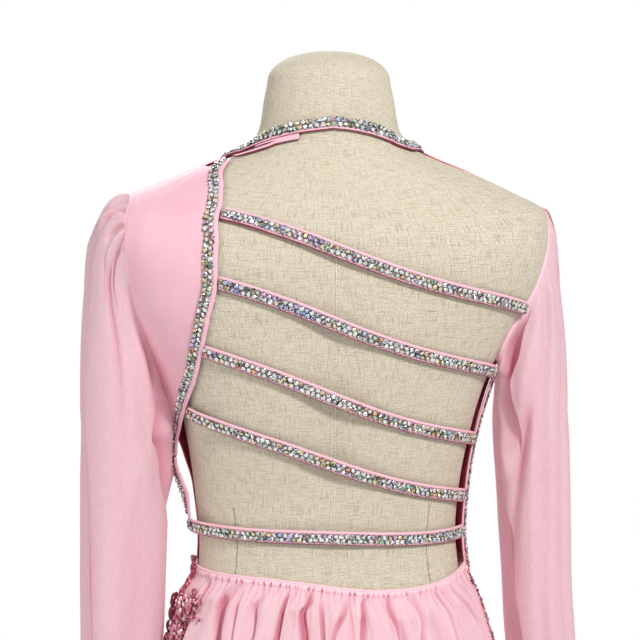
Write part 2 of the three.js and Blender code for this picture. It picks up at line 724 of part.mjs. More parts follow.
function sleeve(name) {
  const hole = armholes[name];
  const sections = sleeves[name];
  const cap = caps[name];
  const turns = spread(sleeveColumns + 1, 0, 1).slice(0, sleeveColumns);
  const ribs = turns.map((turn) => {
    const high = (1 + Math.cos(turn * 2 * Math.PI)) / 2;
    const start = armholePoint(hole, turn);
    const end = sleeveRing(hole.side, sections, sections[0].z, turn);
    const swell = THREE.MathUtils.lerp(cap.underSwell, cap.swell, high);
    const leave = new THREE.Vector3(hole.side * swell, 0, cap.lift * high - cap.underDrop * (1 - high));
    const fall = new THREE.Vector3(0, 0, THREE.MathUtils.lerp(cap.underDrop, cap.drop, high));
    return new THREE.CubicBezierCurve3(start, start.clone().add(leave), end.clone().add(fall), end);
  });
  const grid = spread(capRows + 1, 0, 1).map((t) => ribs.map((rib) => rib.getPoint(t)));
  const levels = [...spread(8, sections[0].z, sleeveLevels.low).slice(1), ...sleeveLevels.hem, cuffTop];
  for (const z of levels) {
    grid.push(turns.map((turn) => sleeveRing(hole.side, sections, z, turn)));
  }
  return sheerPink(`sleeve_${name}`, wall(grid, thickened(grid, cloth, true), true));
}

function cuff(name) {
  const side = armholes[name].side;
  const sections = sleeves[name];
  const last = sections[sections.length - 1];
  const centre = side * (last.inner + last.outer) / 2;
  const half = (last.outer - last.inner) / 2;
  const ring = (z, grow) => spread(21, 0, 360).slice(0, 20).map((angle) => new THREE.Vector3(
    centre + (half + grow) * Math.cos(angle * radians),
    last.middle + (last.depth + grow) * Math.sin(angle * radians),
    z,
  ));
  const top = cuffTop - cuffGap;
  const grid = (grow) => [ring(top - cuffHeight, grow), ring(top, grow)];
  return sheerPink(`cuff_${name}`, wall(grid(-0.5), grid(cuffThickness - 0.5), true));
}

// ---------------------------------------------------------------- skirt

const skirtColumn = (column) => curve(skirtSections, 'z', column);
const skirtHalf = skirtColumn('halfWidth');
const skirtBack = skirtColumn('back');
const skirtFront = skirtColumn('front');
const skirtFoldHeight = skirtColumn('fold');

function foldAt(angle) {
  const i = skirtFolds.findIndex((fold, k) => k < skirtFolds.length - 1
    && angle >= fold.angle && angle <= skirtFolds[k + 1].angle);
  const [from, to] = [skirtFolds[i], skirtFolds[i + 1]];
  return from.height * Math.sin(Math.PI * (angle - from.angle) / (to.angle - from.angle));
}

function skirtPoint(angle, part, lift) {
  const top = waistTop(angle) - elasticHeight - seam;
  const z = THREE.MathUtils.lerp(top, hemHeight, part);
  const r = outline(angle, skirtHalf(z), skirtBack(z), skirtFront(z), skirtSquare);
  const reach = r + skirtFoldHeight(z) * foldAt(angle) + lift;
  return new THREE.Vector3(reach * Math.sin(angle * radians), reach * Math.cos(angle * radians), z);
}

// Column angles between two fold bottoms, both included
function skirtAngles(from, to) {
  const angles = [];
  for (let i = 0; i < skirtFolds.length - 1; i += 1) {
    const [here, next] = [skirtFolds[i].angle, skirtFolds[i + 1].angle];
    for (const sample of foldSamples) {
      angles.push(here + (next - here) * sample);
    }
  }
  angles.push(skirtFolds[skirtFolds.length - 1].angle);
  return angles.filter((angle) => angle >= from && angle <= to);
}

// A wall that follows the skirt's folds, between two distances off it
function skirtWall(rows, from, to, low, high) {
  const angles = skirtAngles(from, to);
  angles[0] += seamAngle;
  angles[angles.length - 1] -= seamAngle;
  const layer = (lift) => rows.map((part) => angles.map((angle) => skirtPoint(angle, part, lift)));
  return wall(layer(low), layer(high));
}

const skirtPanel = (name, from, to) => sheerPink(name, skirtWall(skirtRows, from, to, 0, cloth));

function hipTrim(name, trim, color) {
  const rows = skirtRows.slice(trim.fromRow, trim.toRow + 1);
  const low = cloth + trimGap;
  const geometry = skirtWall(rows, trim.fromAngle, trim.toAngle, low, low + trim.thickness);
  return finish(name, geometry, color, 0.3, 0.2);
}

function waistElastic() {
  const angles = spread(49, 0, 360).slice(0, 48);
  const ring = (drop, off) => angles.map((angle) => worn(angle, waistTop(angle) - drop, off));
  const layer = (off) => [ring(elasticHeight, off), ring(0, off)];
  return sheerPink('skirt_waistband', wall(layer(ease), layer(ease + elasticThickness), true));
}

// ---------------------------------------------------------------- assembly

const dress = new THREE.Group();
dress.name = 'dance_dress_on_form';
dress.add(formTorso(), ...stand());
dress.add(frontBodice(), backLeftPanel(), neckBand(), neckTab(), panelEdgeBand());
dress.add(...straps(), sideEdgeBandRight());
dress.add(sleeve('left'), sleeve('right'), cuff('left'), cuff('right'));
dress.add(waistElastic(), skirtPanel('skirt_back', -90, 90), skirtPanel('skirt_front', 90, 270));
dress.add(hipTrim('hip_applique_left', appliqueLeft, colors.beads));
dress.add(hipTrim('hip_trim_right', trimRight, colors.stones));

export default dress;
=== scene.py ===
import math

import bmesh
import bpy
import numpy as np
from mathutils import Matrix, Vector


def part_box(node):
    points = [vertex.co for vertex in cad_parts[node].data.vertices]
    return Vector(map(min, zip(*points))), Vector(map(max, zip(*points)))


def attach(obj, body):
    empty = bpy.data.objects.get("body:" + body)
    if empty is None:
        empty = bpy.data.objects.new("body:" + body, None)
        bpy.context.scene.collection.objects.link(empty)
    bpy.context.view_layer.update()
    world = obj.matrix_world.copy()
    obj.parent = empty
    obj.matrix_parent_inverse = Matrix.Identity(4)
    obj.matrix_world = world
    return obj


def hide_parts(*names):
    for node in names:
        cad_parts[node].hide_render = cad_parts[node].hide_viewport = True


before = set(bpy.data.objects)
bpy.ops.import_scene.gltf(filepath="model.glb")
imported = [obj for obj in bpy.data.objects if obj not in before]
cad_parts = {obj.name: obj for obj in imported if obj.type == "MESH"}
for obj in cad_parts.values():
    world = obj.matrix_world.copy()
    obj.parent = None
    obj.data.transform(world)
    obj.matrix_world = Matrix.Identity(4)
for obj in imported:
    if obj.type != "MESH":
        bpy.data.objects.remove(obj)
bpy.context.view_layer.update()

# Sizes are the dress's own in millimetres, and MM turns them into metres when a mesh is made. +Z is up, the
# wearer faces -Y and the wearer's left is +X. Angles go from the centre back towards the wearer's left.
MM = 0.001
CIRCLE = 2 * math.pi
rng = np.random.default_rng(7)


# ---- Tables and curves

def table(names, rows):
    """Named columns of numbers, from rows or from a text with a comma between its rows."""
    if isinstance(rows, str):
        rows = [row.split() for row in rows.split(",")]
    return dict(zip(names.split(), np.array(rows, float).T))


def curve(rows, along, column):
    """A smooth curve through one column of a table, which never overshoots its rows."""
    order = np.argsort(rows[along])
    x, y = rows[along][order], rows[column][order]
    step = np.diff(x)
    slope = np.diff(y) / step
    rising = slope[:-1] * slope[1:] > 0
    before, after = 2 * step[1:] + step[:-1], step[1:] + 2 * step[:-1]
    shares = before / np.where(rising, slope[:-1], 1) + after / np.where(rising, slope[1:], 1)
    tangent = np.concatenate([slope[:1], np.where(rising, (before + after) / shares, 0), slope[-1:]])

    def at(where):
        p = np.clip(where, x[0], x[-1])
        i = np.clip(np.searchsorted(x, p, side="right") - 1, 0, len(x) - 2)
        t = (p - x[i]) / step[i]
        rise = y[i] * (1 + 2 * t) * (1 - t) ** 2 + y[i + 1] * t * t * (3 - 2 * t)
        return rise + step[i] * (tangent[i] * t * (1 - t) ** 2 - tangent[i + 1] * t * t * (1 - t))

    return at


def curves(rows, along, columns):
    return [curve(rows, along, column) for column in columns.split()]


def read(rows, along, columns, where):
    """Smooth numbers from several columns, at these places."""
    return [at(where) for at in curves(rows, along, columns)]


def bump(distance, spread):
    return np.exp(-((distance / spread) ** 2))


def ramp(value, low, high):
    """0 at low, 1 at high, smooth between and level beyond."""
    t = np.clip((value - low) / (high - low), 0, 1)
    return t * t * (3 - 2 * t)


def pleat(distance, soft):
    """A fold with one crisp edge at 0: deep just past it, and level again soft away."""
    return ramp(distance, -0.5, 0.9) * (1 - ramp(distance, 0.3 * soft, soft))


def spaced(*stops):
    """Numbers from stop to stop, each stop given with how many steps lead up to it."""
    where, steps = zip(*stops)
    at = np.cumsum(steps)
    return np.interp(np.arange(at[-1] + 1), at, where)


def unit(v):
    return v / np.linalg.norm(v, axis=-1, keepdims=True)


def spin(x, y, angle):
    """Two axes turned about the third."""
    return x * np.cos(angle) + y * np.sin(angle), y * np.cos(angle) - x * np.sin(angle)


def looped(points):
    return np.concatenate([points, points[:1]])


def run_of(points):
    """The distance run at each point of a line, or down each column of a grid."""
    steps = np.linalg.norm(np.diff(points, axis=0), axis=-1)
    return np.concatenate([np.zeros_like(steps[:1]), steps.cumsum(0)])


# ---- Sizes shared with the CAD

CLOTH = 1.5          # wall of the opaque stretch cloth
EASE = 1.5           # air between the form and the cloth on it
BAND_WIDTH = 13
NECK_WIDTH = 11
SIDE_STRAP_WIDTH = 9
BAND_THICK = 2.4
BAND_LAP = BAND_WIDTH / 2 - 1.5      # from a band's middle to the hidden edge of the panel it binds
FORM_BOTTOM, form_top = (corner.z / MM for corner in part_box("form_torso"))
DOME_HEIGHT = 30
DOME_START = form_top - DOME_HEIGHT
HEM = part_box("skirt_back")[0].z / MM
WAIST = 1016         # top of the elastic, on average
WAIST_SWING = 6
ELASTIC_HEIGHT = 7
CUFF_TOP = 790
CUFF_HEIGHT = 18
SPINE = {"depth": 6, "half_width": 26, "middle": 1190, "reach": 120}      # the hollow along the form's spine
SLACK_SPREAD = 13
STRAP_BRIDGE = {"depth": 1.5, "spread": 60}
ARMHOLE_ROUNDNESS = 0.6
SKIRT_SQUARE = 2.2

body = table("z lean half back front square", """
    780 0 157 103 96 2.3, 850 0 163 112 102 2.3, 900 0 154 109 103 2.3, 950 0 140 100 100 2.25,
    1000 0 126 87 94 2.2, 1050 0 121 79 90 2.15, 1090 0 124 80 92 2.15, 1145 0 134 88 102 2.15,
    1192 0 147 96 114 2.2, 1240 0 170 101 122 2.3, 1281 0 192 103 121 2.4, 1305 0 200 103 115 2.5,
    1330 0 204 100 107 2.55, 1348 0 203 94 96 2.5, 1357 0 196 88 88 2.45, 1366 0 178 81 79 2.4,
    1384 0 140 71 66 2.2, 1400 0 99.5 64 59 2.1, 1410 -1 79.5 60 56 2.05, 1428 -3 65 56 54 2,
    1456 -6 60 52 53 2, 1470 -7 57 50 51 2""")
neck_line = table("angle z", """
    0 1437, 29 1433, 48 1428, 62 1422, 72 1416, 80 1410.5, 90 1405, 100 1401, 130 1392, 180 1380,
    230 1391, 252 1402, 264 1408, 276 1411, 287 1412.5, 293 1415, 298 1417.5, 306 1423, 325 1431,
    346 1435.5, 360 1437""")
panel_edge = table("z angle off", """
    1128 86 12, 1140 85 10, 1159 81 6, 1184 73 3, 1213 63.5 1.6, 1238 58 1.5, 1267 53.5 1.5, 1307 49.5 1.5,
    1333 50 1.5, 1356 53.5 1.5, 1380 61.5 1.5, 1400 77 1.5""")
side_strap = table("z angle off turn", """
    1125 86 13 0, 1115 86 14 20, 1100 86 12 40, 1088 86 9 40, 1079 85.5 8 20, 1069 85 7.5 0""")
left_slack = table("z off", """
    1010 0.5, 1060 0.6, 1100 1.2, 1128 4, 1150 8, 1199 8, 1226 5.5, 1258 3, 1290 0""")
right_slack = table("z off", "1010 4.5, 1057 5, 1097 4.5, 1136 3.5, 1178 4, 1208 4, 1230 0")
back_straps = table("left_angle left_z middle_z right_angle right_z left_off slant cool", """
    51.2 1358 1329 -77.5 1266.5 0 0.9 0.7, 47.3 1300.5 1264 -82.5 1204 0 1 0.8,
    55.5 1237 1195 -85 1138 0 -0.5 0.1, 71.5 1174 1132 -83 1083.5 2 -2.7 0, 86 1058 1062 -83 1048 6 0 0""")
# An armhole reaches so many degrees to the back and the front at its middle, and so many more towards its top
armholes = {
    "left": {"side": 1, "top": 1364, "bottom": 1182,
             "back": 13.5, "back_top": 9.5, "front": 13, "front_top": 6},
    "right": {"side": -1, "top": 1352, "bottom": 1210,
              "back": 8, "back_top": -10, "front": 13, "front_top": 6},
}
sleeves = {
    "left": table("z inner outer depth middle", """
        1150 152 234.5 51 0, 1118 150.5 235.5 50 0, 1058 154 237 48 -1, 990 157 238.5 46 -2,
        942 160 239.5 44 -3, 900 168 244 42 -4, 850 180 249 39 -5, 812 189 251 33 -6, 790 195 244 26 -6"""),
    "right": table("z inner outer depth middle", """
        1165 156 227 50 0, 1140 157 229 50 0, 1090 161 231.5 48 -1, 1012 167 234.5 46 -2, 942 172 240 44 -3,
        900 177 243 42 -4, 850 184 248 39 -5, 812 189 250 33 -6, 790 195 244 26 -6"""),
}
caps = {
    "left": {"swell": 34, "lift": 8, "drop": 150, "under_swell": 1, "under_drop": 8},
    "right": {"swell": 10, "lift": 1, "drop": 110, "under_swell": 3, "under_drop": 8},
}
skirt_sections = table("z half back front fold", """
    1012 129.5 89.5 98 1.5, 977 140 98 103 6, 938 150 107 107 10, 900 160 114 110 11, 860 167 118 113 11,
    800 171 122 117 11, 650 188 141 132 18, 500 205 160 151 26, 360 222 179 170 34""")
fold_bottoms = table("angle height", """
    -90 0.9, -77 0.8, -64 0.9, -50 1, -34 0.9, -18 0.55, -9 0.65, 3 0.6, 14 0.7, 27 0.85, 41 0.95, 56 1,
    73 0.8, 90 0.9, 103 0.75, 116 1, 131 0.8, 143 0.6, 154 0.9, 168 0.7, 179 0.6, 190 1, 204 0.85,
    217 0.7, 229 0.95, 243 0.65, 256 0.9, 270 0.9""")


# ---- Body surface

LEFT_FULLNESS = {"size": 4.2, "degrees": 32, "middle": 1085, "reach": 65}      # uneven padding at the waist
lean, half_width, back_depth, front_depth, squareness = curves(body, "z", "lean half back front square")


def outline(angle, side, back, front, square):
    """Distance from the axis to a rounded outline in one direction."""
    a = np.radians(angle)
    reach = np.abs(np.cos(a)) / np.where(np.cos(a) > 0, back, front)
    return ((np.abs(np.sin(a)) / side) ** square + reach ** square) ** (-1 / square)


def body_point(angle, z):
    angle, z = np.broadcast_arrays(np.asarray(angle, float), np.asarray(z, float))
    a = np.radians(angle)
    full = LEFT_FULLNESS["size"] * bump(angle - 90, LEFT_FULLNESS["degrees"])
    full = full * bump(z - LEFT_FULLNESS["middle"], LEFT_FULLNESS["reach"])
    r = outline(angle, half_width(z), back_depth(z), front_depth(z), squareness(z)) + full
    return np.stack([r * np.sin(a), lean(z) + r * np.cos(a), z], -1)


def slopes(angle, z):
    d = 0.25
    around = (body_point(angle + d, z) - body_point(angle - d, z)) / (2 * d)
    up = (body_point(angle, z + d) - body_point(angle, z - d)) / (2 * d)
    return around, up, unit(np.cross(up, around))


def worn(angle, z, off):
    """A point that stands off the body surface, square to it."""
    angle, z = np.asarray(angle, float), np.asarray(z, float)
    return body_point(angle, z) + slopes(angle, z)[2] * np.asarray(off, float)[..., None]


def moved(angle, z, move):
    """The angle and height reached by a small move over the body surface."""
    around, up, _ = slopes(angle, z)
    aa, uu, au = (around * around).sum(-1), (up * up).sum(-1), (around * up).sum(-1)
    ma, mu = (move * around).sum(-1), (move * up).sum(-1)
    scale = 1 / (aa * uu - au * au)
    return angle + (ma * uu - mu * au) * scale, z + (mu * aa - ma * au) * scale


# ---- Meshes

def link(mesh, material, slot, *nodes):
    piece = bpy.data.objects.new(mesh.name, mesh)
    bpy.context.scene.collection.objects.link(piece)
    mesh.materials.append(material)
    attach(piece, "root")
    if nodes:
        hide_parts(*nodes)
    return piece


def closed_up(mesh, weld=False):
    """Fill a mesh's open ends, or weld where it meets itself, and turn its faces out."""
    work = bmesh.new()
    work.from_mesh(mesh)
    if weld:
        bmesh.ops.remove_doubles(work, verts=work.verts, dist=1e-6)
    else:
        bmesh.ops.holes_fill(work, edges=[e for e in work.edges if e.is_boundary])
    bmesh.ops.recalc_face_normals(work, faces=work.faces)
    work.to_mesh(mesh)
    work.free()
    return mesh


def mesh_of(name, points, faces, smooth=True):
    """A mesh from points in millimetres."""
    mesh = bpy.data.meshes.new(name)
    mesh.from_pydata((points * MM).tolist(), [], faces)
    mesh.polygons.foreach_set("use_smooth", [smooth] * len(mesh.polygons))
    mesh.update()
    return mesh


def grid_normals(grid, loop):
    across = np.roll(grid, -1, 1) - np.roll(grid, 1, 1) if loop else np.gradient(grid, axis=1)
    normal = unit(np.cross(across, np.gradient(grid, axis=0)))
    outward = grid - grid.mean(1, keepdims=True)
    return normal if (normal * outward).sum() > 0 else -normal


def quads_of(grid):
    """The four corners of each cell of a grid."""
    corners = np.stack([grid[:-1, :-1], grid[:-1, 1:], grid[1:, 1:], grid[1:, :-1]], 2)
    return corners.reshape(-1, 4, *grid.shape[2:])


def walled(name, grid, wall=0.0, loop=False, **values):
    """A grid of points as a sheet, or as a closed wall that grows outwards by its thickness.

    values are numbers for the material, one for each point. A closed wall also marks its inner face, nearest
    the form, for painted shade, and leaves its outer face plain.
    """
    rows, columns = grid.shape[:2]
    shift = rows * columns
    points, ids, ring = grid.reshape(-1, 3), np.arange(shift).reshape(rows, columns), grid
    if loop:
        ids, ring = (np.concatenate([part, part[:, :1]], 1) for part in (ids, grid))
    u, v = run_of(ring.swapaxes(0, 1)).mean(1) * MM, run_of(grid).mean(1) * MM
    uv = np.stack(np.meshgrid(u, v), -1)
    faces, corners = [quads_of(ids)], [quads_of(uv)]
    if wall:
        points = np.concatenate([points, (grid + grid_normals(grid, loop) * wall).reshape(-1, 3)])
        faces.append(faces[0][:, ::-1] + shift)
        corners.append(corners[0][:, ::-1])
        for edge in [(0,), (-1,)] + ([] if loop else [(slice(None), 0), (slice(None), -1)]):
            faces.append(quads_of(np.stack([ids[edge], ids[edge] + shift])))
            corners.append(quads_of(np.stack([uv[edge], uv[edge]])))
        # the inner face is painted in shade: its material turns it deep crimson, like the shaded gap behind
        # the cloth
        values["under"] = np.repeat([1.0, 0.0], shift)
    mesh = mesh_of(name, points, np.concatenate(faces).tolist())
    weave = mesh.uv_layers.new(name="weave")
    weave.data.foreach_set("uv", np.concatenate(corners).astype(np.float32).ravel())
    for key, numbers in values.items():
        layer = mesh.attributes.new(key, "FLOAT", "POINT")
        layer.data.foreach_set("value", numbers.astype(np.float32).ravel())
    return closed_up(mesh) if wall else mesh


def scattered(name, template, frames, centres, sizes, material, slot, *nodes, smooth=True, tones=None):
    """Many copies of a small solid as one piece: frames are their axes, sizes their scales."""
    points, faces = template
    placed = np.einsum("pk,nkj->npj", np.array(points, float), frames * sizes[:, :, None])
    starts = range(0, len(points) * len(centres), len(points))
    all_faces = [[v + i for v in face] for i in starts for face in faces]
    mesh = mesh_of(name, (placed + centres[:, None]).reshape(-1, 3), all_faces, smooth)
    if tones is not None:
        layer = mesh.attributes.new("colour_and_reflection", "FLOAT_COLOR", "CORNER")
        lengths = np.tile([len(face) for face in faces], len(centres))
        layer.data.foreach_set("color", np.repeat(tones, lengths, axis=0).astype(np.float32).ravel())
    return link(mesh, material, slot, *nodes)


# ---- Node materials

def rgb(code):
    """An sRGB hex colour as linear numbers."""
    parts = np.array([int(code[i:i + 2], 16) / 255 for i in (0, 2, 4)])
    linear = np.where(parts <= 0.04045, parts / 12.92, ((parts + 0.055) / 1.055) ** 2.4)
    return (*linear.tolist(), 1.0)


class Shader:
    """The node tree of a material or the world, with short calls that add to it. Text stands for a colour."""

    def __init__(self, name, kind="materials", output="OutputMaterial"):
        self.owner = getattr(bpy.data, kind).new(name)
        self.owner.use_nodes = True
        self.tree = self.owner.node_tree
        self.tree.nodes.clear()
        self.output = self.add(output)

    def put(self, socket, value):
        if isinstance(value, bpy.types.NodeSocket):
            self.tree.links.new(value, socket)
        else:
            socket.default_value = rgb(value) if isinstance(value, str) else value

    def add(self, kind, inputs=(), **settings):
        node = self.tree.nodes.new("ShaderNode" + kind)
        for key, value in settings.items():
            setattr(node, key, value)
        for key, value in dict(inputs).items():
            self.put(node.inputs[key], value)
        return node

    def stored(self, name, output="Fac"):
        """Numbers that the mesh holds."""
        return self.add("Attribute", attribute_name=name).outputs[output]

    def place(self):
        return self.add("TexCoord").outputs["Object"]

    def scaled(self, vector, x, y, z=1.0):
        return self.add("VectorMath", {0: vector, 1: (x, y, z)}, operation="MULTIPLY").outputs[0]

    def noise(self, vector, scale=1.0, detail=2.0):
        return self.add("TexNoise", {"Vector": vector, "Scale": scale, "Detail": detail}).outputs["Fac"]

    def woven(self, x, y, detail=2.0):
        """Noise on the cloth, this fine across it and along it."""
        return self.noise(self.scaled(self.add("UVMap", uv_map="weave").outputs["UV"], x, y), detail=detail)

    def math(self, operation, a, b):
        return self.add("Math", {0: a, 1: b}, operation=operation).outputs[0]

    def between(self, value, to_low, to_high, low=0.3, high=0.7):
        inputs = {"Value": value, "From Min": low, "From Max": high, "To Min": to_low, "To Max": to_high}
        return self.add("MapRange", inputs, interpolation_type="SMOOTHSTEP").outputs["Result"]

    def mix(self, share, a, b):
        node = self.add("Mix", data_type="RGBA")
        for socket, value in zip((node.inputs[0], node.inputs[6], node.inputs[7]), (share, a, b)):
            self.put(socket, value)
        return node.outputs[2]

    def bumped(self, height, strength, distance):
        return self.add("Bump", {"Height": height, "Strength": strength, "Distance": distance}).outputs[0]

    def principled(self, **inputs):
        names = {key.replace("_", " ").title(): value for key, value in inputs.items()}
        return self.add("BsdfPrincipled", names).outputs[0]

    def done(self, surface=None, **inputs):
        """The finished material or world, from a surface or from the inputs of one."""
        self.tree.links.new(surface or self.principled(**inputs), self.output.inputs["Surface"])
        return self.owner


def linen_material():
    """Plain woven linen in cream beige: a fine grain, with a few slubs both ways."""
    s = Shader("linen")
    warp, weft, cloud = s.woven(1150, 70), s.woven(70, 1150), s.woven(16, 12, 3)
    colour = s.mix(s.between(s.woven(1050, 1050, 1), 0, 1, 0.35, 0.65), "c5b9a0", "e8e0ce")
    colour = s.mix(s.math("MULTIPLY", s.between(cloud, 0, 1, 0.35), 0.3), colour, "d3c8ac")
    for threads in (warp, weft):
        colour = s.mix(s.between(threads, 0, 0.46, 0.48), colour, "a2937b")
    for x, y, rare in ((800, 60, 0.69), (60, 800, 0.69), (520, 420, 0.76)):
        slub = s.between(s.woven(x, y, 1), 0, 1, rare, rare + 0.06)
        colour = s.mix(s.math("MULTIPLY", slub, 0.5), colour, "7d7058")
    weave = s.math("ADD", s.math("MULTIPLY", warp, 0.5), s.math("MULTIPLY", weft, 0.5))
    return s.done(base_color=colour, roughness=s.between(weave, 0.8, 0.92),
                  normal=s.bumped(weave, 0.25, 0.0004), sheen_weight=0.1, sheen_roughness=0.6)


def stretch_material(name, colour, deep, sheen, roughness):
    """Smooth knitted stretch cloth with a soft satin sheen, with painted shade in deep crimson on its marked
    inner face and creases.
    """
    s = Shader(name)
    knit = s.woven(1500, 900)
    tint = s.mix(s.between(s.woven(18, 12, 3), 0, 0.5, 0.3, 0.75), colour, deep)
    tint = s.mix(s.between(knit, 0, 0.08), tint, "ffffff")
    # painted shade: marked places are mixed towards deep crimson
    return s.done(
        base_color=s.mix(s.stored("under"), tint, "ff4f7c"), normal=s.bumped(knit, 0.12, 0.0004),
        roughness=s.between(knit, roughness - 0.05, roughness + 0.07),
        sheen_weight=sheen, sheen_roughness=0.35, sheen_tint="ffe3ea")


def binding_material():
    """Satin binding, with painted shade in deep rose on its underside, along its lower edge and round its
    stones.
    """
    s = Shader("pink_binding")
    thread = s.woven(1300, 500)
    tint = s.mix(s.between(thread, 0, 0.35), "fac6d3", "f6b3c5")
    # painted shade: marked places are mixed towards deep rose
    return s.done(
        base_color=s.mix(s.stored("under"), tint, "8a2a45"), roughness=s.between(thread, 0.5, 0.62),
        normal=s.bumped(thread, 0.15, 0.0003), sheen_weight=0.1, sheen_roughness=0.3)


def chiffon_material(name, colour, deep, clear, through):
    """Sheer crinkled cloth: light passes straight through or glows through, and the pockets of its folds
    carry painted shade, deep rose and less see-through.
    """
    s = Shader(name)
    pocket = s.stored("pocket")
    crinkle, grain = s.woven(500, 90, 3), s.woven(1500, 1200, 1)
    tint = s.mix(s.between(s.woven(40, 6), 0, 0.25), colour, deep)
    tint = s.mix(s.between(crinkle, 0, 0.16, 0.35, 0.75), tint, "fff6f8")
    # painted shade: the pockets of folds and gathers are mixed towards deep rose
    tint = s.mix(pocket, tint, "d5587a")
    normal = s.bumped(s.math("ADD", crinkle, s.math("MULTIPLY", grain, 0.6)), 0.2, 0.0004)
    surface = s.principled(base_color=tint, roughness=s.between(grain, 0.62, 0.78), normal=normal,
                           sheen_weight=0.3, sheen_roughness=0.4, sheen_tint="fff0f3")
    glow = s.add("BsdfTranslucent", {"Color": tint, "Normal": normal}).outputs[0]
    lit = s.add("MixShader", {0: through, 1: surface, 2: glow}).outputs[0]
    gaps = s.between(crinkle, clear * 1.2, clear * 0.8)
    # the painted shade also makes the pockets less see-through
    inputs = {0: s.math("MULTIPLY", gaps, s.math("SUBTRACT", 1.0, pocket)), 1: lit}
    inputs[2] = s.add("BsdfTransparent").outputs[0]
    return s.done(s.add("MixShader", inputs).outputs[0])


def stone_material():
    """Foiled glass stones with a clear polish on top. Each facet's stored colour is a painted reflection,
    light or dark, on the band and trim stones, and a plain pink or white on the hip cluster.
    """
    s = Shader("rhinestone")
    haze = s.noise(s.place(), 900, 1)
    return s.done(
        base_color=s.mix(0.06, s.stored("colour_and_reflection", "Color"), s.mix(haze, "50565a", "ffffff")), metallic=0.3,
        roughness=s.between(haze, 0.12, 0.24), coat_weight=0.8, coat_roughness=0.06)


def bead_material():
    """Glossy dark rose beads."""
    s = Shader("rose_bead")
    haze = s.noise(s.place(), 500)
    return s.done(
        base_color=s.mix(s.between(haze, 0, 0.4), s.stored("colour_and_reflection", "Color"), "5a1020"),
        roughness=s.between(haze, 0.12, 0.28), coat_weight=0.8, coat_roughness=0.08)


def metal_material(name, colour, roughness, streaks):
    s = Shader(name)
    brushed = s.noise(s.scaled(s.place(), *streaks), detail=4)
    cloud = s.between(s.noise(s.place(), 14, 4), 0, 0.25, 0.35)
    return s.done(base_color=s.mix(cloud, colour, "8c8e91"), metallic=0.95,
                  roughness=s.between(brushed, roughness, roughness + 0.14),
                  normal=s.bumped(brushed, 0.12, 0.0003))


def thread_material(name, dark, light):
    s = Shader(name)
    return s.done(base_color=s.mix(s.noise(s.place(), 1800), dark, light), roughness=0.8)


linen = linen_material()
stretch_pink = stretch_material("stretch_pink", "f5bfcc", "eeaabc", 0.15, 0.62)
binding_pink = binding_material()
sleeve_chiffon = chiffon_material("sleeve_chiffon", "fcd9e2", "f5bbca", 0.12, 0.3)
skirt_chiffon = chiffon_material("skirt_chiffon", "ffd3dd", "fcb2c4", 0.03, 0.14)
elastic_pink = stretch_material("elastic_pink", "fbd0db", "f7bccb", 0.15, 0.6)
stone_glass = stone_material()
rose_bead = bead_material()
steel = metal_material("pole_steel", "d5d7da", 0.14, (900, 900, 12))
base_steel = metal_material("base_enamel", "c9cbce", 0.3, (60, 60, 60))
pale_thread = thread_material("seam_thread", "e3dac4", "fffbf0")
dark_thread = thread_material("dark_seam_thread", "77684f", "a09278")


# ---- Dress form

def form_ring(angle, z):
    """The form's surface, hollowed a little along its spine."""
    p = body_point(angle, z)
    hollow = SPINE["depth"] * bump(p[..., 0], SPINE["half_width"]) * bump(z - SPINE["middle"], SPINE["reach"])
    p[..., 1] -= np.where(p[..., 1] > 0, hollow, 0)
    return p


FORM_COLUMNS = 300
SEAM_DEPTH = 0.4
SEAM_WIDTH = 1.3
DOME_POWER = 2.2     # 2 would be an ellipse
princess_seam = table("z angle", "780 44, 900 50, 1000 56, 1066 57, 1110 58, 1200 62, 1290 68")
seam_angle = curve(princess_seam, "z", "angle")


def seam_groove(angle, z):
    """How far the linen dips into its seams: at the centre back, the sides, and the curved ones between."""
    around = np.radians(angle)
    size = np.linalg.norm(body_point(angle, z)[..., :2], axis=-1)
    depth = bump(np.sin(around) * size, SEAM_WIDTH) * (np.cos(around) > 0)
    line = seam_angle(z)
    side = np.where(angle > 180, angle - 360, angle)
    inside = ramp(z, 1300, 1280)
    for sign in (-1, 1):
        depth = depth + 0.7 * inside * bump(np.radians(side - sign * line) * size, SEAM_WIDTH)
        depth = depth + bump(np.radians(side - sign * 90) * size, SEAM_WIDTH)
    return SEAM_DEPTH * np.clip(depth, 0, 1)


def dress_form():
    # columns are closer together beside the seams at the centre back and the sides
    turn = np.linspace(0, 360, FORM_COLUMNS, endpoint=False)
    plain = turn - 7 * np.sin(np.radians(turn * 4)) * (1 - 0.35 * np.cos(np.radians(turn * 2)))
    angle, z = np.meshgrid(plain, spaced((FORM_BOTTOM, 0), (1340, 56), (DOME_START, 30)))
    skin = form_ring(angle, z)
    skin -= slopes(angle, z)[2] * seam_groove(angle, z)[..., None]
    foot = [skin[0] * [scale, scale, 1] for scale in (0.02, 0.5, 0.97)]
    middle = [0, lean(DOME_START)]
    dome = []
    for part in np.sin(np.linspace(0.05, 0.5, 14) * math.pi):
        scale = max(1 - part ** DOME_POWER, 1e-5) ** (1 / DOME_POWER)
        flat = (skin[-1][:, :2] - middle) * scale + middle
        dome.append(np.column_stack([flat, np.full(len(flat), DOME_START + DOME_HEIGHT * part)]))
    mesh = closed_up(walled("form_linen", np.concatenate([foot, skin, dome]), loop=True))
    link(mesh, linen, "linen", "form_torso")


def neighbours(count):
    """Each place round a ring, with the next one."""
    return [(k, (k + 1) % count) for k in range(count)]


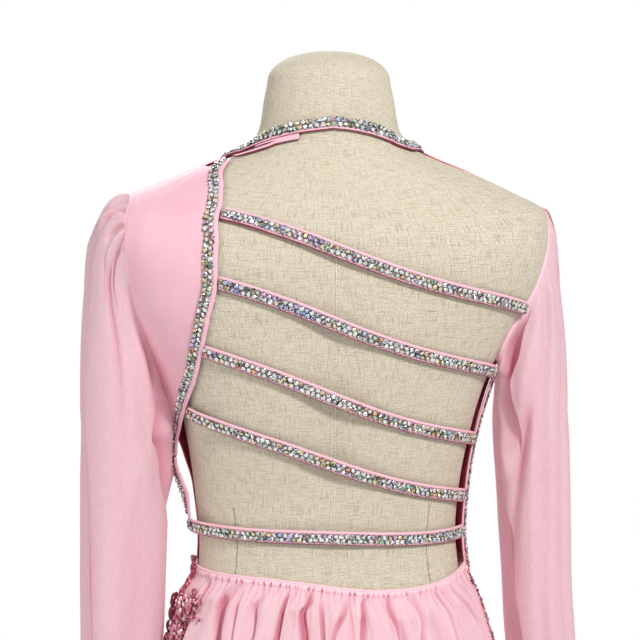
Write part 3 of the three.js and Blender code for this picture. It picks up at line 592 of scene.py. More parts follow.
def stitch_template(sides=5, ends=((-1, 0.3), (-0.6, 1), (0.6, 1), (1, 0.3))):
    """A short stitch along x, thicker in its middle. ends are places along it with their radius."""
    turns = [CIRCLE * k / sides for k in range(sides)]
    points = [(x, r * math.cos(a), r * math.sin(a)) for x, r in ends for a in turns]
    faces = [(i + k, i + n, i + sides + n, i + sides + k)
             for i in range(0, len(points) - sides, sides) for k, n in neighbours(sides)]
    return points, faces + [tuple(range(sides))[::-1], tuple(range(len(points) - sides, len(points)))]


def line_at(line, run, where):
    """The points of a line, or directions along it, at these distances."""
    return np.stack([np.interp(where, run, column) for column in line.T], -1)


def stitch_row(angles, levels, pitch):
    """Centres and frames of stitches along a line on the form."""
    normal = slopes(angles, levels)[2]
    line = form_ring(angles, levels) + normal * 0.15
    run = run_of(line)
    at = np.arange(pitch / 2, run[-1], pitch)
    centre = line_at(line, run, at)
    along = unit(line_at(line, run, at + 0.5) - centre)
    side = unit(np.cross(line_at(normal, run, at), along))
    return centre, np.stack([along, side, np.cross(along, side)], 1)


def form_stitches():
    first, side_top = FORM_BOTTOM + 4, 1086
    low, whole = np.linspace(first, side_top, 120), np.linspace(first, DOME_START, 260)
    beside = -0.4        # the centre row's angle, just beside its seam
    centre_row = [stitch_row(np.full_like(whole, beside), whole, 3.7)]
    side_rows = [stitch_row(sign * seam_angle(low), low, 4.6) for sign in (-1, 1)]
    for name, rows, size, material in (("form_stitches", centre_row, (1.7, 0.45, 0.35), pale_thread),
                                       ("form_side_stitches", side_rows, (2.1, 0.3, 0.25), dark_thread)):
        centres, frames = map(np.concatenate, zip(*rows))
        sizes = np.tile(size, (len(centres), 1))
        scattered(name, stitch_template(), frames, centres, sizes, material, "linen")


LATHE_COLUMNS = 128
SHARP_EDGE = math.radians(35)


def turned(name, profile, material, slot, node):
    """A lathed solid from points of radius and height."""
    turn = np.linspace(0, CIRCLE, LATHE_COLUMNS, endpoint=False)
    radius, height = np.array(profile, float).T[..., None]
    grid = np.stack(np.broadcast_arrays(radius * np.cos(turn), radius * np.sin(turn), height), -1)
    mesh = closed_up(walled(name, grid, loop=True))
    mesh.set_sharp_from_angle(angle=SHARP_EDGE)
    link(mesh, material, slot, node)


# Where each kind of rounding has its middle from its corner, outwards and up, and the angles it runs between
ROUNDINGS = {"low": (-1, 1, 270, 360), "high": (-1, -1, 0, 90), "hollow": (1, 1, 270, 180)}


def rounded(corner_r, corner_z, radius, kind):
    aside, up, start, end = ROUNDINGS[kind]
    a = np.radians(np.linspace(start, end, 7))
    middle_r, middle_z = corner_r + aside * radius, corner_z + up * radius
    return np.stack([middle_r + radius * np.cos(a), middle_z + radius * np.sin(a)], 1)


def stand():
    base_r, _, top = (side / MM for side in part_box("form_base")[1])
    (_, _, foot), (pole_r, _, head) = ([side / MM for side in corner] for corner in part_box("form_pole"))
    core = 0.5           # the turned faces are capped this near the axis
    hub_r, plate = 26, 12
    base = [(core, 0), *rounded(base_r, 0, 2, "low"), *rounded(base_r, plate, 4, "high"),
            *rounded(hub_r, plate, 6, "hollow"), *rounded(hub_r, top, 4, "high"), (core, top)]
    pole = [(core, foot), (pole_r, foot), (pole_r, head), (core, head)]
    turned("stand_base", base, base_steel, "base_metal", "form_base")
    turned("stand_pole", pole, steel, "steel", "form_pole")


# ---- Bands, straps and their stones

neck_z = curve(neck_line, "angle", "z")
edge_angle, edge_off = curves(panel_edge, "z", "angle off")
slack_left, slack_right = curve(left_slack, "z", "off"), curve(right_slack, "z", "off")


def waist_top(angle):
    return WAIST + WAIST_SWING * np.sin(2 * np.radians(angle))


def stations(angle, z, off, loop=False, turn=0.0):
    """Where a band runs: its points, and its directions along, across and outwards. turn tips it."""
    at = worn(angle, z, off)
    along = unit(np.roll(at, -1, 0) - np.roll(at, 1, 0) if loop else np.gradient(at, axis=0))
    across = unit(np.cross(along, slopes(angle, z)[2]))
    across, out = spin(across, np.cross(across, along), np.radians(turn)[..., None])
    return {"at": at, "across": across, "out": out, "along": along}


def run_length(path, loop=False):
    at = looped(path["at"]) if loop else path["at"]
    return np.linalg.norm(np.diff(at, axis=0), axis=1).sum()


def squared(share, power):
    """A sine or cosine whose round becomes squarer as the power falls below 1."""
    return np.sign(share) * np.abs(share) ** power


BAND_SECTION = 36    # points round a band


def band_mesh(name, path, width, thick, loop=False, lower=0, plump=0.5, stoned=(), shaded=True):
    """A folded binding: a rounded flat section swept along its path.

    lower is the side that hangs down, along whose edge a line of painted shade runs; stoned the rows of
    stones, round which the top is painted darker as shade; and shaded whether its underside is painted in
    shade.
    """
    turn = np.linspace(0, CIRCLE, BAND_SECTION, endpoint=False)
    side = squared(np.cos(turn), 0.42) * width / 2
    lift = thick / 2 + squared(np.sin(turn), plump) * thick / 2
    wobble = 1 + 0.012 * np.sin(np.arange(len(path["at"])) * 0.9 + rng.uniform(0, 6))
    skew = np.reshape(path.get("slant", 0.0), (-1, 1)) * side / (width / 2)
    grid = (path["at"][:, None] + path["across"][:, None] * side[None, :, None] * wobble[:, None, None]
            + path["along"][:, None] * skew[..., None] + path["out"][:, None] * lift[None, :, None])
    # painted shade: the underside, a line along the lower edge, and the top round the stones
    under = np.maximum(ramp(lift / thick, 0.42, 0.12) * shaded, ramp(lower * side / (width / 2), 0.8, 0.9))
    if stoned:
        low, high = min(stoned), max(stoned)
        under = np.maximum(under, 0.6 * ramp(side, low - 3, low - 2) * ramp(side, high + 3, high + 2))
    if loop:
        grid = looped(grid)
    return closed_up(walled(name, grid, loop=True, under=np.tile(under, (len(grid), 1))), weld=loop)


def palette(codes):
    return np.array([rgb(code)[:3] for code in codes.split()])


SIDES = 8            # of a stone
STONE_RADIUS = 2.75
STONE_HEIGHT = 2.0
STONE_PITCH = 5.0
STONE_SUNK = 0.25    # in its glue
PALETTE = palette("ffffff f2f6ee f1e6c0 c9dfcd c4d3f0 d3c4ea efbf90")
PLAIN_ODDS = (0.42, 0.25, 0.15, 0.10, 0.03, 0.02, 0.03)
COOL_ODDS = (0.26, 0.12, 0.02, 0.06, 0.28, 0.25, 0.01)


def stone_template():
    """A round brilliant with a flat table: base, girdle, crown and table rings."""
    points, faces = [], []
    for radius, height, twist in ((0.94, 0, 0), (1, 0.24, 0), (0.8, 0.66, 0.5), (0.48, 0.95, 0)):
        for k in range(SIDES):
            a = CIRCLE * (k + twist) / SIDES
            points.append((radius * math.cos(a), radius * math.sin(a), height))
    girdle, crown, top = SIDES, 2 * SIDES, 3 * SIDES
    for k, n in neighbours(SIDES):
        faces += [(k, n, girdle + n, girdle + k)]
        faces += [(girdle + k, girdle + n, crown + k), (girdle + n, crown + n, crown + k)]
        faces += [(crown + k, top + n, top + k), (crown + k, crown + n, top + n)]
    return points, faces + [tuple(range(top, top + SIDES)), tuple(range(SIDES))[::-1]]


STONE = stone_template()


def mirrored(count, share, dim, bright):
    """How light each facet of a ring is painted as a reflection: this share of them mirrors the dark."""
    dark = rng.random((count, SIDES)) < share
    return np.where(dark, rng.uniform(*dim, dark.shape), rng.uniform(*bright, dark.shape))


def opaque(colour):
    return np.concatenate([colour, np.ones((*colour.shape[:-1], 1))], -1)


def stone_reflections(cool):
    """A colour for each facet, painted as the reflection it shows: crowns mirror a light or a dark room,
    girdles the dark round the stone and most tables a bright light, and each stone has its tint.

    cool is each stone's chance of a cool tint.
    """
    count = len(cool)
    tint = np.array([PALETTE[rng.choice(len(PALETTE), p=COOL_ODDS if rng.random() < chance else PLAIN_ODDS)]
                     for chance in cool])
    outer = mirrored(count, 0.62, (0.01, 0.06), (0.35, 1.0))
    inner = mirrored(count, 0.33, (0.02, 0.12), (0.75, 1.0))
    level = np.empty((count, len(STONE[1])))
    for k in range(SIDES):
        sector = level[:, 5 * k:5 * k + 5]
        # the girdle is painted nearly black, a reflection of the dark round the stone
        sector[:, 0] = rng.uniform(0.01, 0.05, count)
        sector[:, 1:3] = outer[:, k:k + 1] * rng.uniform(0.7, 1.15, (count, 2))
        sector[:, 3:5] = inner[:, k:k + 1] * rng.uniform(0.7, 1.15, (count, 2))
    # most tables are painted bright, a reflection of the lamps
    lit = rng.random(count) < 0.78
    level[:, -2] = np.where(lit, rng.uniform(0.85, 1.0, count), rng.uniform(0.15, 0.5, count))
    level[:, -1] = 0.1
    level = np.clip(level, 0.01, 1)[..., None]
    colour = level * tint[:, None] ** (1 + 1.2 * (level < 0.65))
    # dark reflections are painted slightly green
    colour = np.where(level < 0.11, colour * [0.8, 1.0, 0.9], colour)
    return opaque(colour).reshape(-1, 4)


def stones_on(name, path, rows, cool, loop):
    """Staggered rows of stones glued along a band. rows are their distances across it."""
    at, across, out = (looped(path[key]) if loop else path[key] for key in ("at", "across", "out"))
    run = run_of(at)
    count = int(run[-1] / STONE_PITCH)
    end_gap = 1.6
    parts = []
    for r, row in enumerate(rows):
        where = (np.arange(count) + 0.5 + 0.5 * (r % 2) - 0.25) * run[-1] / count
        where = np.clip(where + rng.uniform(-0.5, 0.5, count), end_gap, run[-1] - (0 if loop else end_gap))
        up = unit(line_at(out, run, where) + rng.normal(0, 0.13, (count, 3)))
        side = unit(line_at(across, run, where))
        turn = rng.uniform(0, CIRCLE, count)[:, None]
        x = unit(np.cross(up, side))
        x, y = spin(x, np.cross(up, x), turn)
        shift = row + rng.uniform(-0.35, 0.35, count)
        foot = line_at(at, run, where) + side * shift[:, None]
        centre = foot + line_at(out, run, where) * (BAND_THICK - STONE_SUNK)
        parts.append((centre, np.stack([x, y, up], 1), where / run[-1]))
    centres, frames, places = map(np.concatenate, zip(*parts))
    grow = rng.uniform(0.9, 1.08, len(centres))
    sizes = np.stack([STONE_RADIUS * grow, STONE_RADIUS * grow, STONE_HEIGHT * grow], 1)
    # painted reflections on the facets of these stones
    colour = stone_reflections(np.where(places < 0.3, cool, 0.0) + 0.03)
    return scattered(name, STONE, frames, centres, sizes, stone_glass, "rhinestone",
                     smooth=False, tones=colour)


def stoned_band(name, node, path, width, rows, loop=False, lower=0, cool=0.0):
    mesh = band_mesh(name, path, width, BAND_THICK, loop, lower, stoned=rows)
    piece = link(mesh, binding_pink, "stoned_band", node)
    stones = stones_on(name + "_stones", path, rows, cool, loop)
    run_length(path, loop) * MM


def strap_path(i):
    """A back strap: a smooth bend through its two ends and the height at its middle."""
    row = {key: column[i] for key, column in back_straps.items()}
    left_slope = (row["left_z"] - row["middle_z"]) / row["left_angle"]
    right_slope = (row["right_z"] - row["middle_z"]) / row["right_angle"]
    bend = (left_slope - right_slope) / (row["left_angle"] - row["right_angle"])
    slope = left_slope - bend * row["left_angle"]
    angle = np.linspace(row["left_angle"], row["right_angle"], 90)
    z = row["middle_z"] + slope * angle + bend * angle ** 2
    bridge = STRAP_BRIDGE["depth"] * bump(angle, STRAP_BRIDGE["spread"])
    left = row["left_off"] * bump(angle - row["left_angle"], SLACK_SPREAD)
    right = slack_right(z) * bump(angle + 90, SLACK_SPREAD)
    path = stations(angle, z, EASE + bridge + left + right)
    path["slant"] = row["slant"] * ramp(np.arange(len(angle)), 6, 0)
    return path


def bands():
    angle = np.linspace(0, 358, 240)
    neck = stations(angle, neck_z(angle), EASE, loop=True)
    stoned_band("neck_binding", "neck_band", neck, NECK_WIDTH, (3.6, -0.8), loop=True, lower=-1)
    z = np.linspace(panel_edge["z"][0], panel_edge["z"][-1], 130)
    edge = stations(edge_angle(z), z, edge_off(z))
    stoned_band("panel_binding", "panel_edge_band", edge, BAND_WIDTH, (-4.5, 0.2))
    for i, cool in enumerate(back_straps["cool"]):
        stoned_band(f"strap_binding_{i + 1}", f"back_strap_{i + 1}", strap_path(i), BAND_WIDTH, (-1.9, 2.2),
                    lower=1, cool=cool)
    z = np.linspace(side_strap["z"][0], side_strap["z"][-1] - 2.5, 44)
    angle, off, turn = read(side_strap, "z", "angle off turn", z)
    side = stations(angle, z, off, turn=turn)
    stoned_band("side_strap_binding", "side_strap_left", side, SIDE_STRAP_WIDTH, (1.9,))
    z = np.linspace(waist_top(-90) - 1, armholes["right"]["bottom"] - 6, 90)
    right = stations(np.full_like(z, -88.5), z, EASE + 0.4 + slack_right(z), turn=13.0)
    stoned_band("right_edge_binding", "side_edge_band_right", right, BAND_WIDTH, (-1.4, 3.2))


def below_neck(angle, away):
    """The angle and height of points this far down from the middle of the neck band."""
    across = stations(angle, neck_z(angle), EASE)["across"]
    down = np.where(across[:, 2:] > 0, -across, across)
    return moved(angle, neck_z(angle), down * away)


def neck_tab():
    """One strip: its flat end laps beneath the band, then it opens into a loop and a strand to the panel. Its
    underside and lower edge are painted in shade.
    """
    part = np.linspace(0, 1, 40)
    strips = (
        # from and to angle, distance below the middle of the neck band, width
        (31, 53, np.full(30, 8.4), 5.6),
        (50, 81, 9.0 + 1.6 * ramp(part, 0, 0.35) + 1.2 * part ** 2, 3.6),
        (50, 70, np.full(24, 6.7), 2.2),
    )
    tab_thick = 1.7
    work = bmesh.new()
    area = length = 0
    for from_angle, to_angle, away, width in strips:
        angle = np.linspace(from_angle, to_angle, len(away))
        path = stations(*below_neck(angle, away[:, None]), EASE + 0.2)
        work.from_mesh(band_mesh("tab_part", path, width, tab_thick, lower=-1))
        area += (width + tab_thick) * run_length(path) * MM ** 2
        length += run_length(path)
    mesh = bpy.data.meshes.new("neck_tab_cloth")
    work.to_mesh(mesh)
    work.free()
    piece = link(mesh, binding_pink, "stretch_cloth", "neck_tab")


# ---- Bodice

TURNED_IN = 2.5      # how far the front's lower edge reaches into the elastic
SIDE = 90            # the side seams' angle


def armhole_reach(hole, part, z):
    """How far a side of the armhole lies from the side seam, in degrees, and 0 above and below the hole."""
    middle = (hole["top"] + hole["bottom"]) / 2
    rise = np.clip((z - middle) / (hole["top"] - middle), -1, 1)
    return (hole[part] + hole[part + "_top"] * rise) * np.sqrt(1 - rise ** 2) ** ARMHOLE_ROUNDNESS


def shoulder_rise(angle, z):
    """How far the gathered sleeve head lifts the cloth round the left shoulder point."""
    return 3.5 * bump(angle - SIDE, 15) * bump(z - 1362, 13)


def bodice_off(angle, z):
    return (EASE + slack_left(z) * bump(angle - SIDE, SLACK_SPREAD) + shoulder_rise(angle, z)
            + slack_right(z) * bump(angle - 270, SLACK_SPREAD))


def soft_waves(shape, size, count=6):
    """Slow uneven ripples over a grid, the same on every run."""
    v, u = np.meshgrid(np.linspace(0, 1, shape[0]), np.linspace(0, 1, shape[1]), indexing="ij")
    total = np.zeros(shape)
    for _ in range(count):
        a, b, phase = rng.uniform(1, 5), rng.uniform(1, 6), rng.uniform(0, CIRCLE)
        total += np.sin(CIRCLE * (a * u + b * v) + phase)
    return size * total / count


def bodice_piece(name, node, grid, ripple):
    grid = grid + grid_normals(grid, False) * soft_waves(grid.shape[:2], ripple)[..., None]
    # its closed wall has painted shade on its inner face
    piece = link(walled(name, grid, CLOTH * 0.7), stretch_pink, "stretch_cloth", node)


def back_panel():
    # rows are close together where the armhole turns round its bottom and its top
    z = spaced((1150, 0), (1172, 10), (1192, 50), (1330, 66), (1350, 10), (1376, 60), (1395, 10))
    path = stations(edge_angle(z), z, edge_off(z))
    toward = (path["across"] * slopes(edge_angle(z), z)[0]).sum(-1, keepdims=True)
    away = np.where(toward < 0, -path["across"], path["across"])
    from_angle, from_z = moved(edge_angle(z), z, away * BAND_LAP)
    to_angle = np.maximum(89.9 - armhole_reach(armholes["left"], "back", from_z), from_angle + 1.5)
    share = np.linspace(0, 1, 70)
    angle = from_angle[:, None] + (to_angle - from_angle)[:, None] * share
    level = np.repeat(from_z[:, None], len(share), 1)
    start = edge_off(z)[:, None]
    off = np.maximum(bodice_off(angle, level), start + (EASE - start) * share)
    bodice_piece("bodice_back_left", "back_left_panel", worn(angle, level, off), 0.35)


def front_bodice():
    neck = np.linspace(80, 280, 120)
    edge = below_neck(neck, BAND_LAP)
    top = curve({"angle": edge[0], "z": edge[1]}, "angle", "z")
    # rows from the waist to the neck are close together round the armholes
    parts = spaced((0, 0), (0.415, 30), (0.445, 30), (0.485, 10), (0.51, 24), (0.85, 34), (0.91, 60), (1, 16))

    def level(angle, part):
        low = waist_top(angle) - TURNED_IN
        return low + (top(angle) - low) * part

    z_left, z_right = level(92.0, parts), level(262.0, parts)
    start = 90.12 + armhole_reach(armholes["left"], "front", z_left) + 6 * ramp(z_left, 1124, 1090)
    band_angle = math.degrees((BAND_WIDTH / 2 - 4.5) / 125)
    reach = armhole_reach(armholes["right"], "front", z_right)
    end = 270 - np.maximum(reach, np.where(z_right > 1300, 10, band_angle))
    share = (1 - np.cos(np.linspace(0, math.pi, 80))) / 2
    angle = start[:, None] + (end - start)[:, None] * share
    z = level(angle, parts[:, None])
    grid = worn(angle, z, bodice_off(angle, z))
    bodice_piece("bodice_front", "front_bodice", grid, 0.5)


# ---- Sleeves

# Gathers into the armhole: distance along the seam from its top, above 0 at the back, at the seam and at the
# gather's own end; how far it runs down the sleeve, how deep it is (a ridge below 0) and how wide
gathers = {
    "left": table("at to length depth width", """
        1 26 30 3.2 3, 14 30 22 -2.4 3, 30 34 24 3.4 3, 44 46 26 5.4 3.2, 55 22 52 -3.4 4, 62 68 16 5.2 2.6,
        67 104 46 -3.4 4.2, 69 118 22 4 3.4, 84 100 30 2 3, -12 -13 40 2.4 3.4, -22 -24 46 3.2 3.6,
        -31 -31 30 2.4 3.2, -38 -44 60 4.2 4, -50 -52 38 2.6 3.4, -63 -72 72 3.8 4, -78 -80 36 2.2 3.8,
        -95 -108 50 2.4 4.2"""),
    "right": table("at to length depth width", """
        -56 -58 44 2.6 3.6, -70 -80 66 3 4, -88 -90 44 2 4, -104 -112 50 2.4 4"""),
}
# Long folds: side, how soft, how much painted shade darkens the fold's pocket, then a path of height and
# place round the sleeve (0 outside, 0.25 back, 0.5 inside, 0.75 front) with the depth there. Side 1 or -1 is
# a pleat whose pocket opens that way; side 0 is a soft trough, or a ridge where the depth is below 0.
folds = {
    "left": [
        # the pocket that falls away from the armhole behind the back ridge, and the ridge
        (1, 28, 1.05, "1256 0.325 0, 1245 0.34 5, 1235 0.358 9, 1216 0.387 15, 1196 0.386 20, 1175 0.385 24, "
         "1160 0.362 25, 1148 0.352 24, 1139 0.371 22, 1132 0.383 20, 1107 0.398 16, 1087 0.427 11, "
         "1070 0.46 6, 1055 0.5 0"),
        (0, 11, 0.05, "1300 0.23 0, 1262 0.29 -3, 1216 0.345 -5, 1175 0.35 -5, 1110 0.33 -4, 1030 0.31 -3, "
         "940 0.28 0"),
        (0, 10, 0.05, "1202 0.475 0, 1182 0.465 -5, 1168 0.455 -7, 1150 0.455 -7, 1130 0.46 -7, "
         "1095 0.48 -4, 1060 0.5 0"),
        # the layer that shows as a darker strip down the outside, deepened a little with painted shade
        (-1, 30, 0.06, "1165 0.08 0, 1125 0.092 3, 1068 0.108 6, 1010 0.116 7, 951 0.127 7, 870 0.13 5, "
         "815 0.13 0"),
        # the cap's fullest part
        (0, 36, 0, "1350 0 0, 1335 0 -1.5, 1322 0 -3.5, 1302 0 -2, 1280 0 0"),
        # soft folds over the back
        (0, 6, 0.2, "1322 0.16 0, 1304 0.185 3, 1270 0.225 4.5, 1230 0.25 4, 1170 0.25 2, 1120 0.24 0"),
        # the fine line at the edge of the outer strip: a shallow crease, darkened mostly with painted shade
        (0, 2, 0.5, "1150 0.085 0, 1068 0.108 0.9, 951 0.127 0.9, 815 0.13 0"),
        (0, 14, 0.12, "1120 0.33 0, 1060 0.315 4, 1000 0.3 5, 900 0.3 4, 820 0.3 0"),
        (0, 5, 0.05, "1128 0.345 0, 1105 0.315 1.5, 1060 0.29 1.8, 1010 0.26 1.2, 980 0.24 0"),
        # the front
        (0, 10, 0.05, "1260 0.62 0, 1180 0.61 8, 1060 0.62 10, 940 0.63 8, 830 0.64 0"),
        (0, 8, 0.05, "1300 0.76 0, 1200 0.77 5, 1080 0.79 6, 960 0.78 5, 840 0.77 0"),
        (0, 7, 0.05, "1280 0.9 0, 1180 0.91 5, 1020 0.9 7, 880 0.9 4, 810 0.9 0"),
    ],
    "right": [
        # the pocket that falls away from the free edge
        (1, 26, 0.75, "1272 0.235 0, 1254 0.269 5, 1245 0.288 9, 1234 0.304 12, 1221 0.321 14, 1206 0.35 15, "
         "1196 0.365 15, 1183 0.363 13, 1163 0.34 10, 1151 0.333 8, 1139 0.338 5, 1122 0.35 0"),
        (0, 7, 0.05, "1218 0.4 0, 1204 0.402 -4, 1192 0.39 -4, 1176 0.4 0"),
        (0, 7, 0.05, "1150 0.41 0, 1130 0.41 -4, 1112 0.395 -4, 1094 0.41 0"),
        (0, 7, 0.4, "1215 0.28 0, 1181 0.285 4, 1156 0.302 8, 1132 0.323 9, 1108 0.344 8, 1082 0.365 6, "
         "1042 0.388 4, 985 0.4 0"),
        # the deep strip down the inside, and the fine line that bounds it, both darkened with painted shade
        (1, 26, 0.25, "1190 0.5 0, 1170 0.47 2, 1151 0.44 3, 1123 0.438 3.5, 1078 0.435 3.5, 1047 0.412 3.5, "
         "998 0.404 3.5, 962 0.385 3.5, 930 0.37 3, 860 0.36 2, 815 0.36 0"),
        (0, 1.6, 1, "1178 0.5 0.6, 1151 0.44 1.4, 1123 0.438 1.5, 1078 0.435 1.5, 1047 0.412 1.5, "
         "998 0.404 1.5, 962 0.385 1.5, 943 0.373 1.4, 900 0.36 1, 815 0.35 0"),
        (0, 10, 0.05, "1290 0.22 0, 1254 0.24 -3, 1200 0.3 -4, 1150 0.28 -3, 1040 0.28 -3, 960 0.28 0"),
        # soft folds over the back
        (0, 6, 0.05, "1300 0.155 0, 1272 0.165 -2.5, 1181 0.195 -3, 1085 0.205 -3, 946 0.22 -2, 870 0.22 0"),
        (0, 7, 0.05, "1290 0.19 0, 1250 0.2 3, 1181 0.236 3.5, 1085 0.25 3.5, 946 0.27 3, 850 0.27 0"),
        (0, 6, 0.05, "1260 0.11 0, 1150 0.125 3, 1000 0.14 3.5, 880 0.14 0"),
        (0, 40, 0.05, "1350 0 0, 1335 0 0.5, 1319 0 1.8, 1306 0 3.2, 1288 0 3.8, 1266 0 3.2, 1240 0 2, "
         "1180 0 0"),
        # the front
        (0, 10, 0.05, "1240 0.6 0, 1160 0.6 8, 1040 0.61 10, 920 0.62 8, 830 0.63 0"),
        (0, 8, 0.05, "1280 0.74 0, 1180 0.75 5, 1060 0.77 6, 940 0.77 5, 840 0.76 0"),
        (0, 7, 0.05, "1270 0.9 0, 1160 0.9 4, 1020 0.89 6, 880 0.9 4, 810 0.9 0"),
    ],
}
SLEEVE_COLUMNS = (270, 80)      # round the back half, and round the front
WRIST_GATHERS = 38


def armhole_edge(hole, turn):
    """The seam line of a sleeve: turn runs from its top (0) down the back and up the front (1)."""
    rise = np.cos(turn * CIRCLE)
    middle = (hole["top"] + hole["bottom"]) / 2
    z = middle + (hole["top"] - middle) * rise
    reach = np.where((turn % 1) < 0.5, armhole_reach(hole, "back", z), -armhole_reach(hole, "front", z))
    angle = hole["side"] * (SIDE - reach)
    slack = slack_left(z) if hole["side"] > 0 else slack_right(z)
    off = EASE + CLOTH / 2 + slack * bump(np.abs(angle) - SIDE, SLACK_SPREAD) + shoulder_rise(angle, z)
    return worn(angle, z, off)


def ring_points(name, z, turn):
    """Points round a hanging sleeve."""
    inner, outer, depth, middle = read(sleeves[name], "z", "inner outer depth middle", z)
    a = turn * CIRCLE
    x = armholes[name]["side"] * ((inner + outer) / 2 + (outer - inner) / 2 * np.cos(a))
    return np.stack(np.broadcast_arrays(x, middle + depth * np.sin(a), z), -1)


def plain_sleeve(name):
    """A sleeve without folds: its grid, and each column's place round it and along the armhole seam."""
    hole, cap = armholes[name], caps[name]
    fine = np.linspace(0, 1, 2001)
    run = run_of(armhole_edge(hole, fine))
    back_columns, front_columns = SLEEVE_COLUMNS
    u = spaced((0, 0), (0.56, back_columns), (1, front_columns))[:-1]
    turn = np.interp(u * run[-1], run, fine)
    start = armhole_edge(hole, turn)
    top_z = sleeves[name]["z"][0]
    end = ring_points(name, np.full_like(u, top_z), u)
    high = (1 + np.cos(turn * CIRCLE)) / 2
    swell = cap["under_swell"] + (cap["swell"] - cap["under_swell"]) * high
    leave = np.stack([hole["side"] * swell, 0 * u, cap["lift"] * high - cap["under_drop"] * (1 - high)], 1)
    fall = cap["under_drop"] + (cap["drop"] - cap["under_drop"]) * high
    near, far = start + leave, end + np.stack([0 * u, 0 * u, fall], 1)
    t = (np.linspace(0, 1, 64) ** 1.25)[:, None, None]
    cap_grid = (1 - t) ** 3 * start + 3 * t * (1 - t) ** 2 * near + 3 * t * t * (1 - t) * far + t ** 3 * end
    levels = spaced((top_z, 0), (940, 60), (CUFF_TOP, 24))[1:]
    grid = np.concatenate([cap_grid, ring_points(name, levels[:, None], u[None])])
    seam_at = u * run[-1]
    return grid, u, np.where(seam_at > run[-1] / 2, seam_at - run[-1], seam_at)


def safe_normals(grid, u):
    """Normals, but where the free back edge laps over the front, directions from the sleeve's middle."""
    normal = grid_normals(grid, True)
    outward = unit(grid - grid.mean(1, keepdims=True))
    sure = ramp((normal * outward).sum(-1), 0.3, 0.9)
    sure = 1 - (1 - sure[..., None]) * bump(np.minimum(u, 1 - u), 0.06)[:, None]
    return unit(normal * sure + outward * (1 - sure))


def sleeve(name):
    grid, u, seam_at = plain_sleeve(name)
    down, z = run_of(grid), grid[..., 2]
    push, pocket = np.zeros(z.shape), np.zeros(z.shape)
    for at, to, length, depth, width in zip(*gathers[name].values()):
        middle = at + (to - at) * np.clip(down / length, 0, 1)
        life = ramp(down, -2, 6) * (1 - ramp(down, 0.5 * length, 1.5 * length))
        shape = life * bump(seam_at - middle, width * (1 + down / 60))
        push += depth * shape
        # painted shade in the pockets of the deeper gathers
        pocket += 0.07 * max(depth, 0) * shape
    girth = np.linalg.norm(np.roll(grid, -1, 1) - grid, axis=-1).sum(1, keepdims=True)
    for side, soft, tint, rows in folds[name]:
        path = table("z turn depth", rows)
        place, deep = read(path, "z", "turn depth", z)
        away = ((u - place + 0.5) % 1 - 0.5) * girth
        shape = pleat(away * side, soft) if side else bump(away, soft)
        depth = deep * ramp(down, 0, 10)
        push += depth * shape
        # painted shade in each fold's pocket, as much as the fold's third number gives
        pocket += tint * np.clip(depth, 0, None) / np.abs(path["depth"]).max() * shape
    push += soft_waves(z.shape, 0.8, 9) * ramp(down, 0, 40)
    cuff_near = ramp(z, CUFF_TOP + 45, CUFF_TOP)
    push = push * (1 - cuff_near) + cuff_near * 1.1 * np.sin(u * CIRCLE * WRIST_GATHERS)
    grid = grid - safe_normals(grid, u) * push[..., None]
    mesh = walled(f"sleeve_{name}_chiffon", grid, loop=True, pocket=np.clip(pocket, 0, 0.85))
    piece = link(mesh, sleeve_chiffon, "chiffon", f"sleeve_{name}")
    return grid


def armhole_welt(name, grid):
    """The narrow turned edge where a sleeve meets its armhole."""
    edge, next_row = grid[0, ::2], grid[2, ::2]
    along = unit(np.roll(edge, -1, 0) - np.roll(edge, 1, 0))
    across = unit(next_row - edge)
    out = unit(np.cross(along, across))
    out = out if (out * (edge - edge.mean(0))).sum() > 0 else -out
    path = {"at": edge - out * 0.7 - across * 1.2, "across": across, "out": out, "along": along}
    mesh = band_mesh(f"armhole_seam_{name}", path, 3.4, 1.7, loop=True, plump=0.8, shaded=False)
    piece = link(mesh, binding_pink, "stretch_cloth")
    length = run_length(path, True) * MM * 0.5


def cuff(name):
    """A narrow band, gathered round the wrist."""
    turn = np.linspace(0, 1, 300, endpoint=False)
    part = np.linspace(0, 1, 12)[:, None]
    ring = ring_points(name, np.full_like(part, sleeves[name]["z"][-1]), turn[None])
    ring[..., 2] = np.linspace(CUFF_TOP - 1, CUFF_TOP - 1 - CUFF_HEIGHT, len(part))[:, None]
    gather = 0.55 * np.sin(turn * CIRCLE * 2 * WRIST_GATHERS) + 0.3 * np.sin(turn * CIRCLE * 41 + 1)
    swell = 1.3 * np.sin(part * math.pi) + gather[None] * (0.6 + 0.4 * np.cos(part * math.pi * 4))
    grid = ring + grid_normals(ring, True) * swell[..., None]
    # its closed wall has painted shade on its inner face
    piece = link(walled(f"cuff_{name}_cloth", grid, 1.0, loop=True), elastic_pink, "chiffon", f"cuff_{name}")


# ---- Skirt

skirt_half, skirt_back, skirt_front, skirt_fold = curves(skirt_sections, "z", "half back front fold")
TUCKS = 150          # round the elastic
TUCK_PITCH = 4.75
FOLD_EXTRA = {"size": 2.5, "middle": 950, "reach": 40}      # the folds stand out further below the elastic
SKIRT_TUCK = 1.6     # the skirt's top edge lies this far off the form, inside the elastic
SKIRT_CLEAR = 1.4    # and nowhere does the hanging skirt come nearer than this
